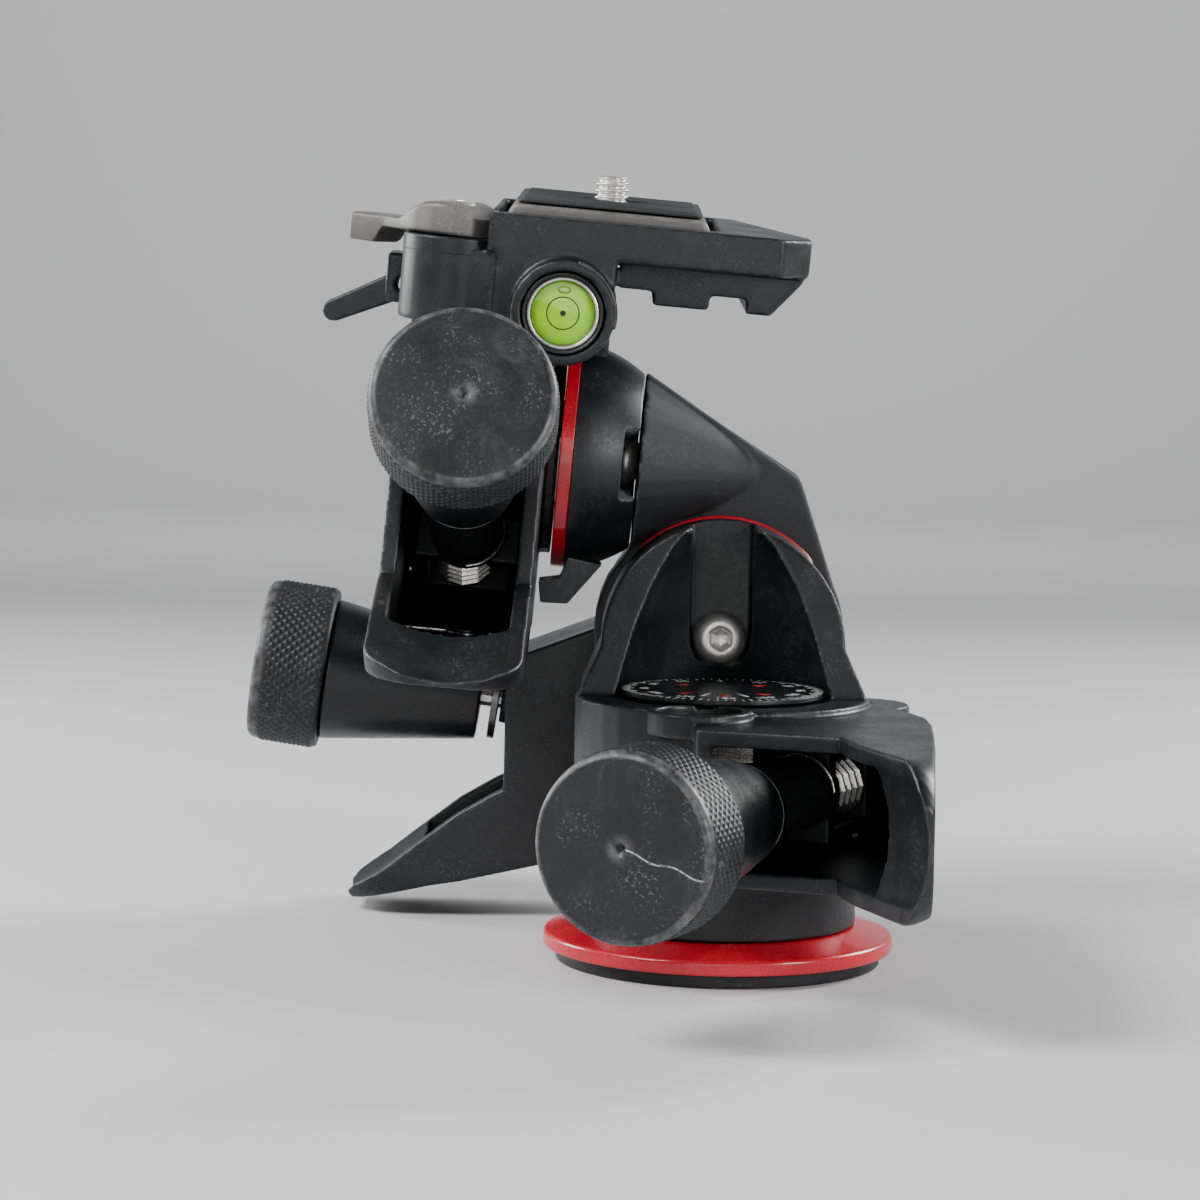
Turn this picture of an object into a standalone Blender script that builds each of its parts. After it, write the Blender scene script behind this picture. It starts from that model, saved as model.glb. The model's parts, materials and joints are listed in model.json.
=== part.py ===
"""Geared tripod head: three worm drives of one pattern, a rolling arm and a quick-release platform.

The origin lies on the pan axis in the plane of the base's underside, +Z is up and the knobs'
side faces -Y. Sizes are in metres.
"""
import math

import bmesh
import bpy
from mathutils import Matrix, Vector

# Driving dimensions of the whole head
CLEARANCE = 0.0003
OVERRUN = 0.0040
WELD_SHARE = 0.01
SHELF_HEIGHT = 0.0490
ROLL_AXIS_RISE = 0.0090
ROLL_AXIS_HEIGHT = SHELF_HEIGHT + ROLL_AXIS_RISE
PITCH_AXIS_HEIGHT = 0.0895
PITCH_AXIS_Y = 0.0290
ROLL_REST = 4.4
PITCH_REST = 4.0
PAN_WORM_HEIGHT = 0.0340
ROLL_WORM_Y = 0.0510
PITCH_WORM_X = -0.04975
PAN_DRIVE_TURN = 25.7
ROLL_DRIVE_TURN = 8.2
PITCH_DRIVE_TURN = 25.5

# Driving dimensions of the worm drive that all three axes share
WHEEL_TEETH = 36
WORM_LEAD = 0.00288
WORM_PITCH_RADIUS = 0.0050
WORM_TURNS = 4
TOOTH_ADDENDUM = 0.0008
TOOTH_DEDENDUM = 0.0011
TOOTH_THICKNESS = 0.00114
TOOTH_FLANK = 20.0
WHEEL_WIDTH = 0.0070
WHEEL_PITCH_RADIUS = WHEEL_TEETH * WORM_LEAD / math.tau
CENTRE_DISTANCE = WHEEL_PITCH_RADIUS + WORM_PITCH_RADIUS
DRIVE_WIDTH = 0.0275
DRIVE_WALL = 0.0030
DRIVE_HALF = DRIVE_WIDTH / 2
DRIVE_INNER_HALF = DRIVE_HALF - DRIVE_WALL
PIVOT_SETBACK = 0.0140
PIVOT_PIN_RADIUS = 0.0020
SPINDLE_RADIUS = 0.0025
HUB_RADIUS = 0.0110
JOURNAL_RADIUS = 0.0080

MODEL = bpy.data.collections.new("Geared tripod head")
CUTTERS = bpy.data.collections.new("Cutters")


def clear_scene():
    """Empty the file and link the two collections."""
    for item in list(bpy.data.objects):
        bpy.data.objects.remove(item, do_unlink=True)
    bpy.context.scene.collection.children.link(MODEL)
    bpy.context.scene.collection.children.link(CUTTERS)


def make_material(name, colour, roughness, metallic):
    """A plain Principled material."""
    made = bpy.data.materials.new(name)
    made.use_nodes = True
    shader = made.node_tree.nodes["Principled BSDF"]
    shader.inputs["Base Color"].default_value = (*colour, 1)
    shader.inputs["Roughness"].default_value = roughness
    shader.inputs["Metallic"].default_value = metallic
    made.diffuse_color = (*colour, 1)
    return made


BLACK_CASTING = make_material("black painted casting", (0.018, 0.020, 0.023), 0.48, 0.0)
GREY_CASTING = make_material("dark grey painted casting", (0.040, 0.042, 0.046), 0.60, 0.0)
RUBBER = make_material("black knob rubber", (0.022, 0.025, 0.028), 0.70, 0.0)
RED_RING = make_material("red anodised ring", (0.560, 0.004, 0.014), 0.35, 0.2)
STEEL = make_material("polished steel", (0.560, 0.550, 0.530), 0.28, 1.0)
SPRING_STEEL = make_material("oiled spring steel", (0.160, 0.165, 0.170), 0.38, 1.0)
BRASS = make_material("gear brass", (0.560, 0.390, 0.150), 0.35, 1.0)
ZINC = make_material("grey die-cast zinc", (0.210, 0.205, 0.200), 0.45, 0.7)
LEVEL_FLUID = make_material("green level vial", (0.330, 0.560, 0.050), 0.12, 0.0)
DIAL_BLACK = make_material("black dial plate", (0.012, 0.012, 0.013), 0.40, 0.0)
PAD_RUBBER = make_material("ribbed pad rubber", (0.030, 0.030, 0.031), 0.85, 0.0)


def frame_of(x_axis, y_axis, z_axis, origin):
    """A placement with the given axes and origin."""
    columns = Matrix((x_axis, y_axis, z_axis)).transposed().to_4x4()
    return Matrix.Translation(origin) @ columns


def turned_about(point, axis, degrees):
    """A rotation about an axis through a point."""
    there = Matrix.Translation(point)
    return there @ Matrix.Rotation(math.radians(degrees), 4, axis) @ there.inverted()


# Placements of the links and of the outlines that are drawn on them
PAN = Matrix.Identity(4)
ARM = turned_about((0, 0, ROLL_AXIS_HEIGHT), "Y", ROLL_REST)
HEAD = ARM @ turned_about((0, PITCH_AXIS_Y, PITCH_AXIS_HEIGHT), "X", PITCH_REST)
FRONTAL = frame_of((1, 0, 0), (0, 0, 1), (0, -1, 0), (0, 0, 0))
CROSSWISE = frame_of((0, 1, 0), (0, 0, 1), (1, 0, 0), (0, 0, 0))
ALONG_WORM = frame_of((0, 1, 0), (0, 0, 1), (1, 0, 0), (0, 0, 0))


def drive_placement(link, axle, toward_knob, away):
    """A drive's own space: X runs toward the knob, Y away from the wheel, Z along the wheel's axis.

    Its origin is the point of the worm's axis that lies nearest to the wheel.
    """
    toward_knob = Vector(toward_knob)
    away = Vector(away)
    origin = Vector(axle) + CENTRE_DISTANCE * away
    return link @ frame_of(toward_knob, away, toward_knob.cross(away), origin)


def drive_placements():
    """The three drives' placements by name."""
    pan, roll, pitch = (math.radians(turn) for turn in (PAN_DRIVE_TURN, ROLL_DRIVE_TURN, PITCH_DRIVE_TURN))
    return {
        "pan": drive_placement(PAN, (0, 0, PAN_WORM_HEIGHT),
                               (-math.sin(pan), -math.cos(pan), 0), (math.cos(pan), -math.sin(pan), 0)),
        "roll": drive_placement(PAN, (0, ROLL_WORM_Y, ROLL_AXIS_HEIGHT),
                                (-math.cos(roll), 0, math.sin(roll)), (-math.sin(roll), 0, -math.cos(roll))),
        "pitch": drive_placement(HEAD, (PITCH_WORM_X, PITCH_AXIS_Y, PITCH_AXIS_HEIGHT),
                                 (0, -math.cos(pitch), math.sin(pitch)),
                                 (0, -math.sin(pitch), -math.cos(pitch))),
    }


DRIVES = drive_placements()


def add_object(name, mesh, material, placement, collection=MODEL):
    """Link a mesh as an object, shaded smooth with sharp corners kept."""
    made = bpy.data.objects.new(name, mesh)
    mesh.materials.clear()
    mesh.materials.append(material)
    made.matrix_world = placement
    collection.objects.link(made)
    mesh.shade_smooth()
    mesh.set_sharp_from_angle(angle=math.radians(32))
    return made


def mesh_of(guide):
    """The evaluated mesh of a guide object with its seams welded, after which the guide goes."""
    guide.data.update_tag()
    bpy.context.view_layer.update()
    graph = bpy.context.evaluated_depsgraph_get()
    mesh = bpy.data.meshes.new_from_object(guide.evaluated_get(graph))
    form = bmesh.new()
    form.from_mesh(mesh)
    bmesh.ops.remove_doubles(form, verts=form.verts, dist=CLEARANCE * WELD_SHARE)
    bmesh.ops.recalc_face_normals(form, faces=form.faces)
    form.to_mesh(mesh)
    form.free()
    bpy.data.objects.remove(guide, do_unlink=True)
    return mesh


def prism(name, outline, low, high, material, placement, collection=MODEL, holes=()):
    """A flat outline in the placement's XY plane, raised from low to high along its Z."""
    curve = bpy.data.curves.new(name, "CURVE")
    curve.dimensions = "2D"
    curve.fill_mode = "BOTH"
    curve.extrude = (high - low) / 2
    for ring in (outline, *holes):
        spline = curve.splines.new("POLY")
        spline.points.add(len(ring) - 1)
        for point, (x, y) in zip(spline.points, ring):
            point.co = (x, y, 0, 1)
        spline.use_cyclic_u = True
    guide = bpy.data.objects.new(name, curve)
    CUTTERS.objects.link(guide)
    mesh = mesh_of(guide)
    mesh.transform(Matrix.Translation((0, 0, (low + high) / 2)))
    return add_object(name, mesh, material, placement, collection)


def turned(name, profile, material, placement, steps=32, closed=False, collection=MODEL):
    """A profile of (radius, height) points, listed down its outer side, turned about Z."""
    mesh = bpy.data.meshes.new(name)
    count = len(profile)
    edges = [(index, index + 1) for index in range(count - 1)]
    if closed:
        edges.append((count - 1, 0))
    mesh.from_pydata([(radius, 0, height) for radius, height in profile], edges, [])
    made = add_object(name, mesh, material, placement, collection)
    turn = made.modifiers.new("Turn", "SCREW")
    turn.steps = steps
    turn.render_steps = steps
    turn.use_merge_vertices = True
    turn.merge_threshold = CLEARANCE * WELD_SHARE
    turn.use_smooth_shade = True
    return made


def washer(name, outer, inner, low, high, material, placement, steps=32, collection=MODEL):
    """A plain ring between two heights."""
    profile = [(inner, high), (outer, high), (outer, low), (inner, low)]
    return turned(name, profile, material, placement, steps, True, collection)


def rod(name, radius, low, high, material, placement, steps=24, collection=MODEL):
    """A plain round bar between two heights."""
    profile = [(0, high), (radius, high), (radius, low), (0, low)]
    return turned(name, profile, material, placement, steps, False, collection)


def block(name, low, high, material, placement, collection=MODEL, bevel=0):
    """A box between two opposite corners, its edges rounded where a bevel is given."""
    mesh = bpy.data.meshes.new(name)
    form = bmesh.new()
    bmesh.ops.create_cube(form, size=1)
    size = Vector(high) - Vector(low)
    centre = (Vector(high) + Vector(low)) / 2
    stretch = Matrix.Translation(centre) @ Matrix.Diagonal((*size, 1))
    bmesh.ops.transform(form, matrix=stretch, verts=form.verts)
    form.to_mesh(mesh)
    form.free()
    made = add_object(name, mesh, material, placement, collection)
    if bevel:
        round_edges(made, bevel)
    return made


def round_edges(target, width, segments=1, angle=40.0):
    """Round the edges sharper than an angle."""
    edge = target.modifiers.new("Rounded edges", "BEVEL")
    edge.width = width
    edge.segments = segments
    edge.limit_method = "ANGLE"
    edge.angle_limit = math.radians(angle)
    edge.use_clamp_overlap = True


def as_tool(tool):
    """Keep an object as a hidden cutter."""
    tool.hide_render = True
    tool.display_type = "WIRE"
    return tool


def combine(target, tool, operation):
    """Cut a tool from the target or join it on."""
    as_tool(tool)
    change = target.modifiers.new(tool.name, "BOOLEAN")
    change.operation = operation
    change.solver = "EXACT"
    change.object = tool


def cut(target, tool):
    """Cut the tool's shape out of the target."""
    combine(target, tool, "DIFFERENCE")


def join(target, tool):
    """Join the tool's shape to the target."""
    combine(target, tool, "UNION")


def arc(centre, radius, start, end, steps):
    """Points of an arc, both ends included, in degrees."""
    points = []
    for index in range(steps + 1):
        angle = math.radians(start + (end - start) * index / steps)
        points.append((centre[0] + radius * math.cos(angle), centre[1] + radius * math.sin(angle)))
    return points


def rounded_box(x_low, x_high, y_low, y_high, radius, steps=4):
    """The outline of a rectangle with round corners."""
    return (arc((x_high - radius, y_low + radius), radius, -90, 0, steps)
            + arc((x_high - radius, y_high - radius), radius, 0, 90, steps)
            + arc((x_low + radius, y_high - radius), radius, 90, 180, steps)
            + arc((x_low + radius, y_low + radius), radius, 180, 270, steps))


def scaled(shares, width, height):
    """Points given as shares of a width and a height."""
    return [(share_x * width, share_y * height) for share_x, share_y in shares]


def tube(name, points, radius, material, placement):
    """A round wire through the points, its ends capped."""
    curve = bpy.data.curves.new(name, "CURVE")
    curve.dimensions = "3D"
    curve.bevel_depth = radius
    curve.bevel_resolution = 1
    curve.use_fill_caps = True
    spline = curve.splines.new("POLY")
    spline.points.add(len(points) - 1)
    for point, place in zip(spline.points, points):
        point.co = (*place, 1)
    guide = bpy.data.objects.new(name, curve)
    CUTTERS.objects.link(guide)
    return add_object(name, mesh_of(guide), material, placement)


# Worm and wheel
WORM_STEPS = 12
WORM_PHASE = math.pi
WORM_START_SHARE = -1.5
WORM_START = WORM_START_SHARE * WORM_LEAD
JOURNAL_END = -0.0086
SPINDLE_END = 0.0600


def tooth_half(offset):
    """Half a tooth's thickness at a distance outside the pitch line."""
    return TOOTH_THICKNESS / 2 - offset * math.tan(math.radians(TOOTH_FLANK))


def make_worm(name, placement):
    """A right-hand worm on its spindle, as one helical grid closed onto the shaft.

    Each row of the grid is one step of the turn. It holds the four corners of the thread's
    section for every lead, so that a turn's last row falls on the next turn's first.
    """
    root = WORM_PITCH_RADIUS - TOOTH_DEDENDUM
    crest = WORM_PITCH_RADIUS + TOOTH_ADDENDUM
    root_half = tooth_half(-TOOTH_DEDENDUM)
    crest_half = tooth_half(TOOTH_ADDENDUM)
    section = ((-root_half, root), (-crest_half, crest), (crest_half, crest), (root_half, root))
    form = bmesh.new()
    rows = []
    for step in range(WORM_TURNS * WORM_STEPS + 1):
        angle = WORM_PHASE + math.tau * step / WORM_STEPS
        centre = WORM_START + WORM_LEAD * step / WORM_STEPS
        row = []
        for along, radius in section:
            row.append(form.verts.new((centre + along, radius * math.cos(angle), radius * math.sin(angle))))
        rows.append(row)
    for before, after in zip(rows, rows[1:]):
        for corner in range(3):
            form.faces.new((before[corner], after[corner], after[corner + 1], before[corner + 1]))
    for step in range((WORM_TURNS - 1) * WORM_STEPS):
        low, low_next = rows[step][3], rows[step + 1][3]
        high, high_next = rows[step + WORM_STEPS][0], rows[step + WORM_STEPS + 1][0]
        form.faces.new((low, low_next, high_next, high))
    form.faces.new(rows[0])
    form.faces.new(tuple(reversed(rows[-1])))
    first_turn = [row[0] for row in rows[:WORM_STEPS + 1]]
    last_turn = [row[3] for row in rows[-WORM_STEPS - 1:]]
    close_worm_end(form, first_turn, rows[0][3], JOURNAL_END, SPINDLE_RADIUS)
    close_worm_end(form, last_turn, rows[-1][0], SPINDLE_END, SPINDLE_RADIUS)
    bmesh.ops.recalc_face_normals(form, faces=form.faces)
    mesh = bpy.data.meshes.new(name)
    form.to_mesh(mesh)
    form.free()
    return add_object(name, mesh, STEEL, placement)


def close_worm_end(form, turn, foot, end, radius):
    """Lead one end of the thread into a round shaft and cap it."""
    shoulder = []
    tip = []
    level = min(vert.co.x for vert in turn) if end < 0 else max(vert.co.x for vert in turn)
    level += math.copysign(CLEARANCE, end)
    for index in range(WORM_STEPS):
        angle = WORM_PHASE + math.tau * index / WORM_STEPS
        shoulder.append(form.verts.new((level, radius * math.cos(angle), radius * math.sin(angle))))
        tip.append(form.verts.new((end, radius * math.cos(angle), radius * math.sin(angle))))
    for index in range(WORM_STEPS):
        after = (index + 1) % WORM_STEPS
        form.faces.new((turn[index], turn[index + 1], shoulder[after], shoulder[index]))
        form.faces.new((shoulder[index], shoulder[after], tip[after], tip[index]))
    form.faces.new(tip)
    form.faces.new((turn[0], shoulder[0], foot))
    form.faces.new((foot, shoulder[0], turn[-1]))


def make_wheel(name, placement, bore):
    """A wheel whose teeth are slanted to the worm's lead, centred on the placement's Z."""
    root = WHEEL_PITCH_RADIUS - TOOTH_DEDENDUM
    crest = WHEEL_PITCH_RADIUS + TOOTH_ADDENDUM
    slant = WORM_LEAD / (math.tau * WORM_PITCH_RADIUS * WHEEL_PITCH_RADIUS)
    form = bmesh.new()
    rings = []
    for height in (-WHEEL_WIDTH / 2, WHEEL_WIDTH / 2):
        outer = []
        inner = []
        for tooth in range(WHEEL_TEETH):
            centre = math.tau * tooth / WHEEL_TEETH + math.pi / 2 + height * slant
            for radius, half in ((root, -tooth_half(-TOOTH_DEDENDUM)), (crest, -tooth_half(TOOTH_ADDENDUM)),
                                 (crest, tooth_half(TOOTH_ADDENDUM)), (root, tooth_half(-TOOTH_DEDENDUM))):
                angle = centre + half / WHEEL_PITCH_RADIUS
                outer.append(form.verts.new((radius * math.cos(angle), radius * math.sin(angle), height)))
            inner.append(form.verts.new((bore * math.cos(centre), bore * math.sin(centre), height)))
        rings.append((outer, inner))
    (low_outer, low_inner), (high_outer, high_inner) = rings
    corners = len(low_outer)
    for index in range(corners):
        after = (index + 1) % corners
        form.faces.new((low_outer[index], low_outer[after], high_outer[after], high_outer[index]))
    for tooth in range(WHEEL_TEETH):
        after = (tooth + 1) % WHEEL_TEETH
        form.faces.new((low_inner[tooth], high_inner[tooth], high_inner[after], low_inner[after]))
        for outer, inner in rings:
            face = outer[4 * tooth:4 * tooth + 4]
            form.faces.new(face)
            form.faces.new((face[0], face[3], outer[4 * after], inner[after], inner[tooth]))
    bmesh.ops.recalc_face_normals(form, faces=form.faces)
    mesh = bpy.data.meshes.new(name)
    form.to_mesh(mesh)
    form.free()
    return add_object(name, mesh, BRASS, placement)


# Drive frame: a channel between two walls that ends in a thumb wing
FRAME_WHEEL_RADIUS = 0.0226
FRAME_CREST_DEGREES = 8.0
MOUTH_TOP = (0.0397, -0.0088)
MOUTH_FOOT = (0.0362, 0.0166)
WING_REACH = 0.0640
WING_DROP = 0.0432
WING_TOP_SHARES = ((0.590, 0.405), (0.698, 0.532), (0.833, 0.736), (1.000, 1.000))
WING_FOOT_SHARES = ((0.978, 1.053), (0.956, 1.037), (0.739, 0.880), (0.375, 0.674), (0.140, 0.535),
                    (0.000, 0.428))
CHANNEL_TOP_SHARES = ((0.660, -0.112), (0.760, 0.140), (0.781, 0.600))
CHANNEL_FOOT_SHARES = ((0.781, 0.792), (0.720, 0.786), (0.375, 0.594), (0.140, 0.455), (0.000, 0.348))
PIVOT_END_RADIUS = 0.0095
PIVOT_ROOM_RADIUS = 0.0066
CHANNEL_CREST = (0.0215, -0.0150)
CHANNEL_CREST_TURN = 2.0
WING_CORNER_SHARE = 0.25
PAD_SAG = 0.0016


def frame_outline():
    """The drive frame's side: round the wheel, along the mouth, out to the wing and back round the pivot."""
    wheel = (0, -CENTRE_DISTANCE)
    around = arc(wheel, FRAME_WHEEL_RADIUS, -180, FRAME_CREST_DEGREES, 20)
    wing = scaled(WING_TOP_SHARES + WING_FOOT_SHARES, WING_REACH, WING_DROP)
    pivot = arc((-PIVOT_SETBACK, 0), PIVOT_END_RADIUS, 70, 190, 6)
    return around + [MOUTH_TOP, MOUTH_FOOT] + wing + pivot


def channel_outline():
    """The room inside the drive frame, open at the mouth and along the wing."""
    wheel = (0, -CENTRE_DISTANCE)
    around = arc(wheel, FRAME_WHEEL_RADIUS - DRIVE_WALL, -180, FRAME_CREST_DEGREES + CHANNEL_CREST_TURN, 16)
    room = scaled(CHANNEL_TOP_SHARES + CHANNEL_FOOT_SHARES, WING_REACH, WING_DROP)
    pivot = arc((-PIVOT_SETBACK, 0), PIVOT_ROOM_RADIUS, 70, 185, 5)
    return around + [CHANNEL_CREST] + room + pivot


def cut_drive_room(target, drive, placement):
    """Hollow a frame for its worm, wheel and carrier, and bore it for the pivot pin."""
    inner = DRIVE_INNER_HALF
    cut(target, prism(f"{drive} channel", channel_outline(), -inner, inner, BLACK_CASTING, placement,
                      CUTTERS))
    pivot = placement @ Matrix.Translation((-PIVOT_SETBACK, 0, 0))
    cut(target, rod(f"{drive} pivot bore", PIVOT_PIN_RADIUS + CLEARANCE, -DRIVE_HALF - OVERRUN,
                    DRIVE_HALF + OVERRUN, STEEL, pivot, 16, CUTTERS))


def shape_wing(target, drive, placement):
    """Round the wing's corners in plan and hollow its thumb pad."""
    corner = DRIVE_WIDTH * WING_CORNER_SHARE
    reach = WING_REACH + OVERRUN
    for side in (-1, 1):
        edge = side * (DRIVE_HALF + OVERRUN)
        start = WING_REACH - corner
        outline = [(start, edge), (reach, edge), (reach, side * (DRIVE_HALF - corner))]
        outline += arc((start, side * (DRIVE_HALF - corner)), corner, 0, side * 90, 5)
        beyond = WING_DROP + WING_DROP
        tool = prism(f"{drive} wing corner {side}", outline, -beyond, beyond, BLACK_CASTING,
                     placement @ FRONTAL, CUTTERS)
        cut(target, tool)
    pad_start = Vector(scaled(WING_TOP_SHARES[1:2], WING_REACH, WING_DROP)[0])
    pad_end = Vector(scaled(WING_TOP_SHARES[3:4], WING_REACH, WING_DROP)[0])
    along = (pad_end - pad_start).normalized()
    across = Vector((along.y, -along.x))
    half = DRIVE_INNER_HALF
    radius = (half * half + PAD_SAG * PAD_SAG) / (2 * PAD_SAG)
    centre = (pad_start + pad_end) / 2 + across * (radius - PAD_SAG)
    axis = placement @ frame_of((*across, 0), (0, 0, -1), (*along, 0), (*centre, 0))
    length = (pad_end - pad_start).length
    cut(target, rod(f"{drive} thumb pad", radius, -length / 2, length, BLACK_CASTING, axis, 48, CUTTERS))


# Swinging carrier of the worm
CARRIER_SLEEVE_RADIUS = 0.0033
CARRIER_TOP = -0.0034
CARRIER_FOOT = 0.0050
CARRIER_ARM_OUTER = 0.0102
CARRIER_ARM_INNER = 0.0083
CARRIER_SHORT_OUTER = 0.0088
CARRIER_SHORT_INNER = 0.0064
CARRIER_LUG_START = 0.0054
REAR_WALL = (-0.0087, -0.0062)
FRONT_WALL = (0.0090, 0.0120)
NOSE_START_RADIUS = 0.0062
NOSE_END_RADIUS = 0.0052
NOSE_END = 0.0394


def make_carrier(drive, placement):
    """A cradle that holds the worm in two walls and swings on the pivot pin."""
    name = f"{drive}_worm_carrier"
    outer = CARRIER_ARM_OUTER
    window = [(REAR_WALL[0], -CARRIER_SHORT_OUTER), (FRONT_WALL[1], -CARRIER_SHORT_OUTER),
              (FRONT_WALL[1], outer), (REAR_WALL[0], outer)]
    hole = [(REAR_WALL[1], -CARRIER_SHORT_INNER), (FRONT_WALL[0], -CARRIER_SHORT_INNER),
            (FRONT_WALL[0], CARRIER_ARM_INNER), (REAR_WALL[1], CARRIER_ARM_INNER)]
    plan = placement @ FRONTAL
    carrier = prism(name, window, -CARRIER_FOOT, -CARRIER_TOP, GREY_CASTING, plan, holes=[hole])
    pivot = placement @ Matrix.Translation((-PIVOT_SETBACK, 0, 0))
    half = DRIVE_INNER_HALF - CLEARANCE
    lug_low = (-PIVOT_SETBACK, CARRIER_TOP + CLEARANCE, CARRIER_LUG_START)
    lug_high = (REAR_WALL[0] + CLEARANCE, -CARRIER_TOP, outer - CLEARANCE)
    join(carrier, block(f"{drive} carrier lug", lug_low, lug_high, GREY_CASTING, placement, CUTTERS))
    join(carrier, rod(f"{drive} carrier sleeve", CARRIER_SLEEVE_RADIUS, -half, half, GREY_CASTING, pivot,
                      12, CUTTERS))
    nose = [(0, NOSE_END), (NOSE_END_RADIUS, NOSE_END), (NOSE_START_RADIUS, FRONT_WALL[0]),
            (0, FRONT_WALL[0])]
    join(carrier, turned(f"{drive} carrier nose", nose, GREY_CASTING, placement @ ALONG_WORM, 16, False,
                         CUTTERS))
    cut(carrier, rod(f"{drive} carrier bore", PIVOT_PIN_RADIUS + CLEARANCE, -DRIVE_HALF, DRIVE_HALF, STEEL,
                     pivot, 12, CUTTERS))
    cut(carrier, rod(f"{drive} spindle bore", SPINDLE_RADIUS + CLEARANCE, REAR_WALL[0] - CLEARANCE,
                     NOSE_END + OVERRUN, STEEL, placement @ ALONG_WORM, 12, CUTTERS))
    return carrier


# Return spring round the pivot
SPRING_WIRE_RADIUS = 0.00055
SPRING_RADIUS = 0.0043
SPRING_START = -0.0097
SPRING_END = 0.0046
SPRING_TURNS = 6.5
SPRING_POINTS = 8
SPRING_HOOK_RADIUS = 0.0016
SPRING_FOOT = (0.0085, 0.0182)
SPRING_FOOT_SLOPE = 24.0
SPRING_REST = 0.0074
SPRING_HOOK_REACH = 0.0150
SPRING_FLOOR_SHARES = (0.45, 0.90)
SPRING_BEND_SHARES = (0.7, 1.15)
SPRING_LEAD_SHARES = (0.35, 0.70)
SPRING_COIL_SHARE = 0.25


def spring_route():
    """One wire: a looped foot on the channel's floor, the coil round the pivot, a hook round the nose."""
    slope = math.radians(SPRING_FOOT_SLOPE)
    loop = SPRING_HOOK_RADIUS
    floor = [(loop, -loop)]
    floor += arc((loop, SPRING_END / 2), loop, -50, 180, 7)
    floor += [(0, SPRING_START * share) for share in SPRING_FLOOR_SHARES]
    floor.append((-loop / 2, SPRING_START))
    route = []
    for along, across in floor:
        route.append((SPRING_FOOT[0] + along * math.cos(slope),
                      SPRING_FOOT[1] + along * math.sin(slope), across))
    start = Vector((-PIVOT_SETBACK, SPRING_RADIUS, SPRING_START))
    back_share, side_share = SPRING_BEND_SHARES
    bend = Vector((-PIVOT_SETBACK * back_share, SPRING_RADIUS * side_share, SPRING_START))
    run = Vector(route[-1])
    route += [tuple(run.lerp(bend, share)) for share in SPRING_LEAD_SHARES]
    route.append(tuple(bend.lerp(start, SPRING_COIL_SHARE)))
    count = round(SPRING_TURNS * SPRING_POINTS)
    for index in range(count + 1):
        angle = math.pi / 2 + math.tau * SPRING_TURNS * index / count
        along = SPRING_START + (SPRING_END - SPRING_START) * index / count
        route.append((start.x + SPRING_RADIUS * math.cos(angle), SPRING_RADIUS * math.sin(angle), along))
    route.append((REAR_WALL[0], -SPRING_RADIUS, (SPRING_END + SPRING_REST) / 2))
    route.append((REAR_WALL[1] / 2, -SPRING_RADIUS, SPRING_REST))
    route.append((FRONT_WALL[1], -SPRING_RADIUS, SPRING_REST))
    for turn in (60, 90, 120, 150, 175):
        angle = math.radians(turn)
        route.append((SPRING_HOOK_REACH, -SPRING_REST * math.cos(angle), SPRING_REST * math.sin(angle)))
    return route


def least_gap(route, radius):
    """The smallest gap of a wire to itself, between points more than half a curl apart."""
    points = [Vector(point) for point in route]
    apart = SPRING_POINTS // 2
    least = min((points[first] - points[second]).length
                for first in range(len(points)) for second in range(first + apart, len(points)))
    return least - 2 * radius


def make_spring(drive, placement):
    """The drive's return spring."""
    route = spring_route()
    print(f"{drive} spring: least gap {least_gap(route, SPRING_WIRE_RADIUS) * 1000:.2f} mm")
    return tube(f"{drive}_return_spring", route, SPRING_WIRE_RADIUS, SPRING_STEEL, placement)


# Knob
KNOB_RADIUS = 0.0162
KNOB_RIM = (0.0745, 0.0868)
KNOB_CROWN = 0.0887
KNOB_EDGE = 0.0014
KNOB_DIMPLE = 0.0013
CROWN_DROP_SHARE = 0.25
BARREL_START = 0.0435
BARREL_START_RADIUS = 0.0092
BARREL_END_RADIUS = 0.0140
SPIGOT_RADIUS = 0.0122
SPIGOT_END = 0.0842
BARREL_FLAT = (0.0490, 0.0660)
BARREL_FLAT_DEPTH = 0.0011
THRUST_RADIUS = 0.0086
THRUST = (0.0399, 0.0413)


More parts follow.
